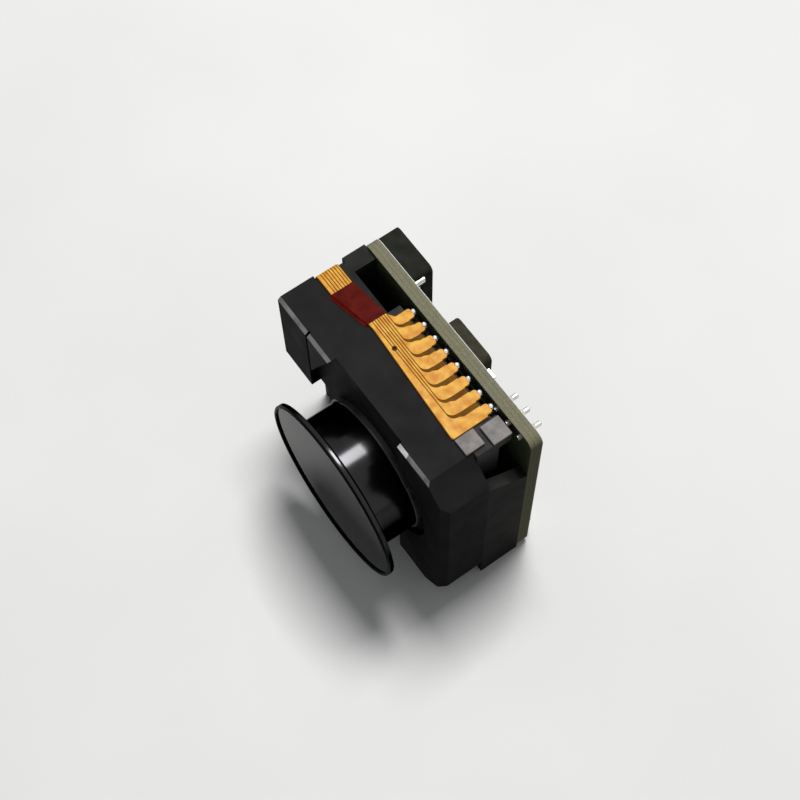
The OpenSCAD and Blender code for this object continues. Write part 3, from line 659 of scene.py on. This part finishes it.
def quarter(inner, outer, steps=10):
    """A quarter ring seen end on, from the film's upright leg over to the flat part."""
    turn = [math.pi / 2 * (1 + k / steps) for k in range(steps + 1)]
    return [(bend_x + outer * math.cos(a), bend_z + outer * math.sin(a)) for a in turn] + [
        (bend_x + inner * math.cos(a), bend_z + inner * math.sin(a)) for a in reversed(turn)
    ]


beyond = 9 * far
leg_foot = film_low.z + 3.6 * mm
leg_front, leg_back, broad_leg_back = (face_y + y * mm for y in (neck_front, neck_back, -1.8))
film_mesh = plain("film_circuit", [
    # The film is cut off where the bend starts, its leg is narrowed to the neck's width, and the
    # bend and the flat part are put on anew.
    ("DIFFERENCE", boxed(-beyond, -beyond, bend_z, beyond, beyond, beyond)),
    ("DIFFERENCE", boxed(film_low.x - far, leg_back, leg_foot, bend_x, broad_leg_back, beyond)),
    ("UNION", block(quarter(bend_r - film_t, bend_r), "Y", leg_front, leg_back)),
    ("UNION", flat_block(film_edge(0), top_z, top_z + film_t)),
    round_hole(film_hole_r),
])
shown(softened("film_body", film_mesh, 0.02 * mm, film_brown), "film_circuit")

track_inset, half_gap = 0.06, 0.03
neck_lane, wide_lane = 0.215, 0.19
first_lane = neck_back - 0.18
track_turn_r, turn_shift = 0.55, 0.2
gap_start = neck_end - 2.15


def lane(k):
    """Where the gap between two tracks runs across the neck, and across the wide part."""
    return first_lane - neck_lane * k, wide_back - wide_lane * k


def gap_side(k, way):
    """One side of a gap between two tracks: along the neck, over the wide part and round a turn."""
    neck_y, wide_y = lane(k)
    middle_x = finger_x[k] + pitch / 2 - track_turn_r - (turn_shift if way > 0 else 0)
    middle_y = wide_y + track_turn_r
    reach = track_turn_r - way * half_gap
    turn = [math.radians(a) for a in range(-80, 1, 10)]
    return [
        (gap_start, neck_y + way * half_gap), (neck_end, neck_y + way * half_gap),
        (wide_start, wide_y + way * half_gap), (middle_x, wide_y + way * half_gap),
    ] + [(middle_x + reach * math.cos(a), middle_y + reach * math.sin(a)) for a in turn]


def gap_edge(k):
    """The whole gap, which widens up between two fingers and runs out past their tips."""
    up, slot, past = finger_x[k] + pitch / 2, (pitch - finger_w) / 2, 1
    root = lane(k)[1] + track_turn_r + 0.32
    return gap_side(k, -1) + [
        (up + slot, root), (up + slot, past), (up - slot, past), (up - slot, root),
    ] + gap_side(k, 1)[::-1]


def joined(meshes):
    """One mesh from several."""
    shape = bmesh.new()
    for mesh in meshes:
        shape.from_mesh(mesh)
    return mesh_of(shape)


copper_gold = finish_of(
    "copper_gold", linear(196, 128, 42), linear(222, 168, 70), 0.7 * mm, (0.35, 0.45),
    (0.1 * mm, 0.0015 * mm), Specular_IOR_Level=0.1,
)
tracks = [worked(
    flat_block(film_edge(track_inset), top_z + film_t, top_z + film_t + copper_t),
    [through(gap_edge(k)) for k in range(fingers - 1)] + [round_hole(track_hole_r)],
)]
neck_lines = [
    neck_back - track_inset + half_gap, *(lane(k)[0] for k in range(fingers - 1)),
    neck_front + track_inset - half_gap,
]
for back_line, front_line in zip(neck_lines, neck_lines[1:]):
    low_y, high_y = face_y + (front_line + half_gap) * mm, face_y + (back_line - half_gap) * mm
    tracks += [
        block(quarter(bend_r, bend_r + copper_t), "Y", low_y, high_y),
        boxed(film_low.x - copper_t, low_y, leg_foot + 0.1 * mm, film_low.x, high_y, bend_z),
    ]
shown(softened("film_copper", joined(tracks), 0.01 * mm, copper_gold), "film_tracks")

# ---- Tape over the neck ----
# A short strip of thin dark red tape that holds the film's neck down. It lies on the housing in
# front, climbs over the neck's edge and is cut off flush with the neck behind.
tape_red = finish_of(
    "tape_red", linear(70, 16, 12), linear(92, 26, 20), 0.9 * mm, (0.35, 0.45),
    (0.2 * mm, 0.003 * mm), Specular_IOR_Level=0.02,
)
along, across = 28, 22
tape_start, tape_t = 0.02, 0.04 * mm
overhang, climb_w, climb_h, rag = 0.22, 0.1, 0.145, 0.03


def wander(*place):
    """A smooth unevenness that is the same on each run."""
    return noise.noise(Vector(place))


tape_points = []
for i in range(along + 1):
    u = i / along
    neck_edge, back = neck_front + front_slant * u, neck_back + back_slant * u
    front = neck_edge - overhang
    for k in range(across + 1):
        v = k / across
        y = front + (back - front) * v
        climb = min(max((y - neck_edge + climb_w) / climb_w, 0), 1)
        ripple = 0.012 * wander(u * 4.5, v * 3.5, 2.2) + 0.01 * wander(u * 2, v * 9, 7)
        lift = tape_start + climb_h * climb * climb * (3 - 2 * climb) + abs(ripple)
        ragged_y = rag * wander(u * 30, 0.5, v) if k in (0, across) else 0
        ragged_x = rag * wander(v * 12, u, 3) if i in (0, along) else 0
        tape_points.append((
            (neck_end + (wide_start - neck_end) * u + ragged_x) * mm,
            face_y + (y + ragged_y) * mm, top_z + lift * mm,
        ))
row = across + 1
tape_mesh = bpy.data.meshes.new("tape")
tape_mesh.from_pydata(tape_points, [], [
    (i * row + k, (i + 1) * row + k, (i + 1) * row + k + 1, i * row + k + 1)
    for i in range(along) for k in range(across)
])
tape = placed("tape_strip", tape_mesh)
thicken = tape.modifiers.new("thickness", "SOLIDIFY")
thicken.thickness = tape_t
thicken.offset = 1
tape.data = as_changed(tape)
tape.modifiers.clear()
tape.data.materials.append(tape_red)
smooth(tape.data, 40)
shown(tape, "film_tape")

# ---- Finger solder ----
# A bright bead of solder joins each finger to the terminal under it. The beads are made by hand, so
# no two are quite alike.
def lumps(node):
    """The boxes of a CAD node's separate solids, from left to right."""
    shape = bmesh.new()
    shape.from_mesh(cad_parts[node].data)
    bmesh.ops.remove_doubles(shape, verts=shape.verts, dist=1e-7)
    left, boxes = set(shape.verts), []
    while left:
        start = left.pop()
        group, reach = [start], [start]
        while reach:
            for edge in reach.pop().link_edges:
                for vert in edge.verts:
                    if vert in left:
                        left.discard(vert)
                        group.append(vert)
                        reach.append(vert)
        boxes.append(tuple(
            Vector(pick(vert.co[i] for vert in group) for i in range(3)) for pick in (min, max)
        ))
    shape.free()
    return sorted(boxes, key=lambda box: tuple(round(v, 6) for v in (*box[0], *box[1])))


bright_solder = finish_of(
    "bright_solder", linear(196, 196, 192), linear(222, 222, 218), 0.25 * mm, (0.18, 0.34),
    (0.12 * mm, 0.006 * mm), Metallic=1,
)
bead_w, bead_d, bead_sunk, most_lump = 0.74, 0.66, 0.25, 1.02
random.seed(8)
beads = bmesh.new()
for low, high in lumps("finger_solder"):
    middle = (low + high) / 2
    half = (high - low) / 2
    phase = Vector(random.uniform(0, 9) for i in range(3))
    ball = bmesh.ops.create_uvsphere(beads, u_segments=24, v_segments=14, radius=1)["verts"]
    for vert in ball:
        lump = 1 + 0.16 * noise.noise(vert.co * 1.3 + phase)
        vert.co = Vector((
            middle.x + vert.co.x * half.x * bead_w * min(lump, most_lump),
            middle.y + vert.co.y * half.y * bead_d * min(lump, most_lump),
            max(low.z + (vert.co.z * (1 + bead_sunk) - bead_sunk) * 2 * half.z * min(lump, 1), low.z),
        ))
bead_mesh = mesh_of(beads)
smooth(bead_mesh, 70)
bead_mesh.materials.append(bright_solder)
shown(placed("solder_beads", bead_mesh), "finger_solder")

# ---- Terminal block ----
# A black strip moulded round a row of flat terminals. The fingers are soldered to their upper ends,
# and their feet lie on the front of the main board.
block_plastic = finish_of(
    "block_plastic", linear(38, 39, 35), linear(46, 47, 42), 1 * mm, (0.45, 0.55),
    (0.05 * mm, 0.002 * mm), Specular_IOR_Level=0.008,
)
rounded("terminal_block", 0.05 * mm, block_plastic)
tinned = finish_of(
    "tinned", linear(186, 184, 176), linear(208, 206, 198), 0.4 * mm, (0.22, 0.36),
    (0.1 * mm, 0.002 * mm), Metallic=1,
)
rounded("block_terminals", 0.03 * mm, tinned)

# ---- Grey pads ----
# Two small soft pads, cut from a grey sheet of a rubbery kind, on the carrier's shelf beside the
# last finger.
pad_grey = finish_of(
    "pad_grey", linear(116, 113, 110), linear(138, 133, 130), 0.6 * mm, (0.7, 0.85),
    (0.08 * mm, 0.006 * mm), Specular_IOR_Level=0.02,
)
rounded("grey_pads", 0.05 * mm, pad_grey, steps=3)

# ---- Main board ----
# A square board of glass and resin, one millimetre thick, with an olive coating on both faces. Its
# sawn edge shows the raw laminate, with the inner layers as fine lines.
board_low, board_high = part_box("main_board")
board_coat = finish_of(
    "board_coat", linear(48, 54, 38), linear(58, 64, 46), 1.5 * mm, (0.32, 0.45),
    (0.1 * mm, 0.002 * mm),
)
board_edge = bpy.data.materials.new("board_edge")
board_edge.use_nodes = True
edge_nodes, edge_links = board_edge.node_tree.nodes, board_edge.node_tree.links
edge_place = edge_nodes.new("ShaderNodeTexCoord")
edge_axes = edge_nodes.new("ShaderNodeSeparateXYZ")
edge_depth = edge_nodes.new("ShaderNodeMapRange")
edge_depth.inputs["From Min"].default_value = board_low.y
edge_depth.inputs["From Max"].default_value = board_high.y
edge_layers = edge_nodes.new("ShaderNodeValToRGB")
laminate, laminate_dark = linear(124, 121, 101), linear(106, 103, 83)
for k, (at, tone) in enumerate((
    (0.0, laminate_dark), (0.06, laminate), (0.3, laminate), (0.34, laminate_dark), (0.38, laminate),
    (0.62, laminate), (0.66, laminate_dark), (0.7, laminate), (0.94, laminate), (1.0, laminate_dark),
)):
    stop = edge_layers.color_ramp.elements[0] if k == 0 else edge_layers.color_ramp.elements.new(at)
    stop.position, stop.color = at, tone
edge_layers.color_ramp.elements.remove(edge_layers.color_ramp.elements[-1])
edge_speckle = edge_nodes.new("ShaderNodeMix")
edge_speckle.data_type = "RGBA"
edge_speckle.blend_type = "MULTIPLY"
edge_speckle.inputs["Factor"].default_value = 1
edge_links.new(edge_place.outputs["Object"], edge_axes.inputs[0])
edge_links.new(edge_axes.outputs["Y"], edge_depth.inputs["Value"])
edge_links.new(edge_depth.outputs["Result"], edge_layers.inputs["Fac"])
edge_links.new(edge_layers.outputs["Color"], edge_speckle.inputs["A"])
speckle = blended(board_edge, linear(225, 225, 222), linear(255, 255, 255), 0.12 * mm)
edge_links.new(speckle, edge_speckle.inputs["B"])
edge_links.new(edge_speckle.outputs["Result"], edge_nodes["Principled BSDF"].inputs["Base Color"])
edge_nodes["Principled BSDF"].inputs["Roughness"].default_value = 0.7
edge_nodes["Principled BSDF"].inputs["Specular IOR Level"].default_value = 0.005
grained(board_edge, 0.06 * mm, 0.006 * mm)

board = rounded("main_board", 0.04 * mm, board_coat)
board.data.materials.append(board_edge)
for face in board.data.polygons:
    inside = min(
        face.center.x - board_low.x, board_high.x - face.center.x,
        face.center.z - board_low.z, board_high.z - face.center.z,
    )
    if abs(face.normal.y) < 0.6 and inside < 0.5 * mm:
        face.material_index = 1

# ---- Tracks on the board's back ----
# Copper lines that stand out a little under the olive coating, and plated holes, drawn as a bare gilt
# rim round each.
def detail(piece):
    """The piece is a detail of the module that has no CAD node of its own."""
    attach(piece, "root")
    return piece


back_y = board_high.y
routes = [
    [(-4.4, 10.28 + 0.8 * k), (-4.2, 10.28 + 0.8 * k),
     (-4.2 + abs(0.52 * k - 0.12), 10.4 + 0.28 * k), (-2.6 + 1.1 * k, 10.4 + 0.28 * k),
     (-2.6 + 1.1 * k, 9.9)] for k in range(4)
] + [
    [(3.5, z), (4.4, z), (4.7, z + 0.3), (6.0, z + 0.3)] for z in (4.6, 5.2, 5.8, 6.4, 7.0, 7.6)
] + [
    [(-3.6, 4.2), (-5.3, 4.2)], [(-3.6, 5.4), (-5.3, 5.4)], [(2, 14.2), (4.5, 14.2)],
    [(2, 14.5), (4.5, 14.5)], [(5.7, 17.9), (5.7, 15)],
    [(6.95, 17.9), (6.95, 16.2), (6.3, 15.55), (6.3, 15)],
    [(8.2, 17.9), (8.2, 15.9), (8.7, 15.4), (8.7, 10.6), (7.6, 9.5), (7.6, 8.9)],
    [(-3.4, 18.2), (2.9, 18.2), (3.4, 17.7), (3.4, 16.6)],
]
lines = bpy.data.curves.new("lines", "CURVE")
lines.dimensions = "3D"
lines.bevel_depth = 0.12 * mm
lines.bevel_resolution = 3
for route in routes:
    line = lines.splines.new("POLY")
    line.points.add(len(route) - 1)
    for point, (x, z) in zip(line.points, route):
        point.co = (x * mm, back_y - 0.1 * mm, z * mm, 1)
drawn = placed("lines", lines)
line_mesh = as_changed(drawn)
bpy.data.objects.remove(drawn)
coat_over_copper = finish_of(
    "coat_over_copper", linear(66, 74, 50), linear(76, 84, 58), 1.2 * mm, (0.3, 0.4),
    (0.1 * mm, 0.001 * mm), Specular_IOR_Level=0.3,
)
detail(softened("board_lines", line_mesh, 0.001 * mm, coat_over_copper))
gilt = finish_of(
    "gilt", linear(196, 158, 84), linear(218, 182, 104), 0.4 * mm, (0.24, 0.36),
    (0.08 * mm, 0.001 * mm), Metallic=1,
)
plated_holes = [
    (-4.6, 7), (-4.6, 2.6), (4.6, 11.4), (5.4, 11), (4, 10.7), (4.4, 17.4), (-3.4, 18.2), (1, 18.2),
    (8.7, 11.6), (9, 16.6), (4.8, 2.2), (5, 9.9), (-8.8, 7.2), (-6.6, 7.3), (4.9, 8.7), (-4.5, 5.8),
]
hole_r, rim_r = 0.1 * mm, 0.24 * mm
rim_low, rim_high = back_y - 0.1 * mm, back_y + 0.02 * mm
detail(softened("plated_holes", joined([
    spun([
        (hole_r, rim_low), (hole_r, rim_high), (rim_r, rim_high), (rim_r, rim_low),
    ], x * mm, z * mm) for x, z in plated_holes
]), 0.008 * mm, gilt))

# ---- Board connector ----
# The plug-in connector on the back of the board: a black moulded shroud round a central island with
# gilt contacts, a row of tinned tails along its inner side and two holding nails.
rounded("board_connector", 0.06 * mm, block_plastic)
plug_low, plug_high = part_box("board_connector")
island_x = (plug_low.x + 1.45 * mm, plug_high.x - 1.45 * mm)
contacts, contact_pitch, half_contact = 15, 0.473 * mm, 0.11 * mm
leaves = []
for k in range(contacts):
    z = plug_low.z + 2 * mm + k * contact_pitch
    for x, side in zip(island_x, (-1, 1)):
        # Each contact stands against the island's flank, and its end is bent over the island's top.
        for inner, outer, base, top in (
            (0.05, 0.06, plug_low.y + 0.4 * mm, plug_high.y - 0.22 * mm),
            (0.35, 0.03, plug_high.y - 0.3 * mm, plug_high.y),
        ):
            x0, x1 = sorted((x - side * inner * mm, x + side * outer * mm))
            leaves.append(boxed(x0, base, z - half_contact, x1, top, z + half_contact))
detail(softened("contact_leaves", joined(leaves), 0.02 * mm, gilt))
rounded("connector_contacts", 0.02 * mm, tinned)
rounded("connector_nails", 0.03 * mm, tinned)

# ---- Chips ----
# What drives the sensor: a processor on a ball grid, a memory chip on bent leads and a small
# regulator with pads along its sides. Each is moulded in black resin, with a dimple near its first
# lead.
chip_resin = finish_of(
    "chip_resin", linear(34, 34, 35), linear(42, 42, 43), 0.5 * mm, (0.5, 0.65),
    (0.03 * mm, 0.002 * mm), Specular_IOR_Level=0.2,
)
carrier_resin = finish_of(
    "carrier_resin", linear(28, 44, 36), linear(36, 54, 44), 0.6 * mm, (0.35, 0.5),
    (0.03 * mm, 0.001 * mm),
)


def resin_body(name, node, inset, under, dent, edge):
    """Makes a chip's moulded body, with a shallow round dimple in it, and gives the chip's box."""
    low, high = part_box(node)
    inset_x, inset_z = (part * mm for part in inset)
    across_x, down_z, radius = (part * mm for part in dent)
    floor_y, above_y = high.y - 0.05 * mm, high.y + 0.1 * mm
    hollow = spun([
        (0, floor_y), (radius * 0.8, floor_y), (radius, above_y), (0, above_y),
    ], low.x + across_x, high.z - down_z, closed=False)
    body = boxed(
        low.x + inset_x, low.y + under * mm, low.z + inset_z, high.x - inset_x, high.y, high.z - inset_z
    )
    body = worked(body, [("DIFFERENCE", hollow)])
    shown(softened(name, body, edge * mm, chip_resin), node)
    return low, high


low, high = resin_body(
    "processor_cap", "image_processor", (0.4, 0.4), 0.4, (1.1, 1.1, 0.32), 0.05
)
ball_top, cap_base = low.y + 0.15 * mm, low.y + 0.4 * mm
ball_middle, ball_r, flat_r = (low.y + ball_top) / 2, 0.18 * mm, 0.13 * mm
carrier_slab = boxed(low.x, ball_top, low.z, high.x, cap_base, high.z)
detail(softened("processor_carrier", carrier_slab, 0.03 * mm, carrier_resin))
rows, row_inset = 11, 0.35 * mm
step = (high.x - low.x - 2 * row_inset) / (rows - 1)
filled = (0, 1, rows - 2, rows - 1)
detail(softened("processor_balls", joined([
    spun([
        (0, low.y), (flat_r, low.y), (ball_r, ball_middle), (flat_r, ball_top), (0, ball_top),
    ], low.x + row_inset + i * step, low.z + row_inset + k * step, around=14, closed=False)
    for i in range(rows) for k in range(rows) if i in filled or k in filled
]), 0.01 * mm, bright_solder, sharpest=60))

low, high = resin_body("memory_body", "memory_chip", (0.36, 0), 0.07, (0.85, 0.5, 0.2), 0.06)
lead_bend = [
    (0, 0), (0.26, 0), (0.3, 0.34), (0.44, 0.34), (0.44, 0.42), (0.23, 0.42), (0.19, 0.08), (0, 0.08),
]
side_leads, half_lead = 8, 0.12 * mm
leads = []
for k in range(side_leads):
    z = low.z + (high.z - low.z) * (k + 0.5) / side_leads
    for edge, side in ((low.x, 1), (high.x, -1)):
        leads.append(block(
            [(edge + side * a * mm, low.y + b * mm) for a, b in lead_bend], "Z",
            z - half_lead, z + half_lead
        ))
detail(softened("memory_leads", joined(leads), 0.015 * mm, tinned))

low, high = resin_body(
    "regulator_body", "voltage_regulator", (0.03, 0.03), 0.02, (0.5, 0.5, 0.18), 0.04
)
side_pads, first_pad, pad_pitch = 4, 0.5 * mm, 0.53 * mm
pad_d, half_pad = 0.2 * mm, 0.12 * mm
pads = []
for k in range(side_pads):
    run = first_pad + k * pad_pitch
    x, z = low.x + run, low.z + run
    for edge in (low.x, high.x - pad_d):
        pads.append(boxed(edge, low.y, z - half_pad, edge + pad_d, low.y + pad_d, z + half_pad))
    for edge in (low.z, high.z - pad_d):
        pads.append(boxed(x - half_pad, low.y, edge, x + half_pad, low.y + pad_d, edge + pad_d))
detail(softened("regulator_pads", joined(pads), 0.015 * mm, tinned))

# ---- Inductor and crystal ----
# The regulator's inductor is pressed from ferrite with a tinned plate at each end. The crystal sits
# on a ceramic base under a thin metal lid, which is welded on along its rim.
ferrite = finish_of(
    "ferrite", linear(56, 54, 46), linear(66, 64, 54), 0.5 * mm, (0.5, 0.6),
    (0.04 * mm, 0.003 * mm), Specular_IOR_Level=0.01,
)
rounded("power_inductor", 0.1 * mm, ferrite)
low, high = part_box("power_inductor")
middle_z = (low.z + high.z) / 2
half_t, plate_h, half_w = 0.09 * mm, 0.8 * mm, 1.2 * mm
detail(softened("inductor_plates", joined([
    boxed(x - half_t, low.y, middle_z - half_w, x + half_t, low.y + plate_h, middle_z + half_w)
    for x in (low.x, high.x)
]), 0.04 * mm, tinned))
can_metal = finish_of(
    "can_metal", linear(176, 176, 172), linear(196, 196, 192), 1 * mm, (0.25, 0.35),
    (0.08 * mm, 0.001 * mm), Metallic=1,
)
low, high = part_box("crystal")
lid = []
for inset, base, top, corner in ((0.08, 0.34, 0.42, 0.2), (0.2, 0.4, 0.75, 0.3)):
    points = []
    inward = (inset + corner) * mm
    for k, (x, z) in enumerate((
        (high.x - inward, high.z - inward), (low.x + inward, high.z - inward),
        (low.x + inward, low.z + inward), (high.x - inward, low.z + inward),
    )):
        for a in range(0, 91, 15):
            turn = math.radians(k * 90 + a)
            points.append((x + corner * mm * math.cos(turn), z + corner * mm * math.sin(turn)))
    lid.append(block(points, "Y", low.y + base * mm, low.y + top * mm))
shown(softened("crystal_lid", joined(lid), 0.05 * mm, can_metal), "crystal")
ceramic_base = boxed(low.x, low.y, low.z, high.x, low.y + 0.35 * mm, high.z)
detail(softened("crystal_base", ceramic_base, 0.04 * mm, chip_resin))

# ---- Capacitors and resistors ----
# Small ceramic parts with tinned ends, each soldered down with a little wedge of solder at both
# ends. The capacitors are of bare tan ceramic, and the resistors have a dark glaze.
capacitor_clay = finish_of(
    "capacitor_clay", linear(138, 104, 70), linear(152, 116, 80), 0.4 * mm, (0.5, 0.6),
    (0.04 * mm, 0.002 * mm),
)
resistor_glaze = finish_of(
    "resistor_glaze", linear(20, 20, 21), linear(28, 28, 29), 0.4 * mm, (0.3, 0.4),
    (0.04 * mm, 0.001 * mm),
)
slim = 0.02 * mm


def lying(along_x, a0, a1, y0, y1, b0, b1):
    """A block of a part that lies along x or else along z, with a along the part and b across it."""
    return boxed(a0, y0, b0, a1, y1, b1) if along_x else boxed(b0, y0, a0, b1, y1, a1)


for node, slot, finish, share in (
    ("chip_capacitors", "capacitor_tan", capacitor_clay, 0.24),
    ("chip_resistors", "resistor_black", resistor_glaze, 0.2),
):
    bodies, ends, solder = [], [], []
    for low, high in lumps(node):
        along_x = high.x - low.x > high.z - low.z
        start, stop = (low.x, high.x) if along_x else (low.z, high.z)
        side_low, side_high = (low.z, high.z) if along_x else (low.x, high.x)
        cap_l = (stop - start) * share
        bodies.append(lying(
            along_x, start + cap_l * 0.8, stop - cap_l * 0.8, low.y + slim, high.y - slim,
            side_low + slim, side_high - slim
        ))
        for edge, way in ((start, -1), (stop, 1)):
            a0, a1 = sorted((edge, edge - way * cap_l))
            ends.append(lying(along_x, a0, a1, low.y, high.y, side_low, side_high))
            a0, a1 = sorted((edge, edge + way * 0.22 * mm))
            solder.append(lying(
                along_x, a0, a1, low.y - slim, low.y + slim,
                side_low - 0.05 * mm, side_high + 0.05 * mm
            ))
            rise = 0.55 * (high.y - low.y)
            foot = edge - way * slim
            wedge = [
                (foot, low.y), (foot + way * 0.2 * mm, low.y),
                (foot + way * 0.08 * mm, low.y + rise * 0.35), (foot, low.y + rise),
            ]
            if not along_x:
                wedge = [(y, a) for a, y in wedge]
            solder.append(block(wedge, "Z" if along_x else "X", side_low + slim, side_high - slim))
    shown(softened(node + "_bodies", joined(bodies), 0.03 * mm, finish), node)
    detail(softened(node + "_ends", joined(ends), 0.04 * mm, tinned))
    detail(softened(node + "_solder", joined(solder), 0.015 * mm, bright_solder))

# ---- Pins and screws ----
# Three plain pins soldered through the board near its top, each in a ring of solder, and two
# cross-recessed screws that hold board, frame and housing together.
pin_meshes, ring_meshes = [], []
# The dents in the solder rings are the same on each run.
noise.seed_set(8)
for low, high in lumps("board_pins"):
    x, z, radius = (low.x + high.x) / 2, (low.z + high.z) / 2, (high.x - low.x) / 2
    tip = high.y - 0.5 * mm
    pin_meshes.append(spun([
        (0, low.y), (radius, low.y), (radius, tip - 0.07 * mm), (radius - 0.06 * mm, tip), (0, tip),
    ], x, z, closed=False))
    cone = spun([
        (radius - 0.02 * mm, back_y - 0.05 * mm), (radius - 0.02 * mm, back_y + 0.42 * mm),
        (radius + 0.05 * mm, back_y + 0.24 * mm), (radius + 0.16 * mm, back_y + 0.1 * mm),
        (radius + 0.34 * mm, back_y + 0.02 * mm), (radius + 0.36 * mm, back_y - 0.05 * mm),
    ], x, z, around=32)
    for vert in cone.vertices:
        vert.co += 0.025 * mm * noise.noise_vector(vert.co / mm * 2.5)
    ring_meshes.append(cone)
shown(softened("pins", joined(pin_meshes), 0.01 * mm, tinned), "board_pins")
solder_rings = softened("pin_solder", joined(ring_meshes), 0.01 * mm, bright_solder, sharpest=60)
detail(solder_rings)
screw_steel = finish_of(
    "screw_steel", linear(150, 150, 150), linear(172, 172, 172), 0.6 * mm, (0.28, 0.4),
    (0.08 * mm, 0.002 * mm), Metallic=1,
)
rounded("housing_screws", 0.06 * mm, screw_steel)
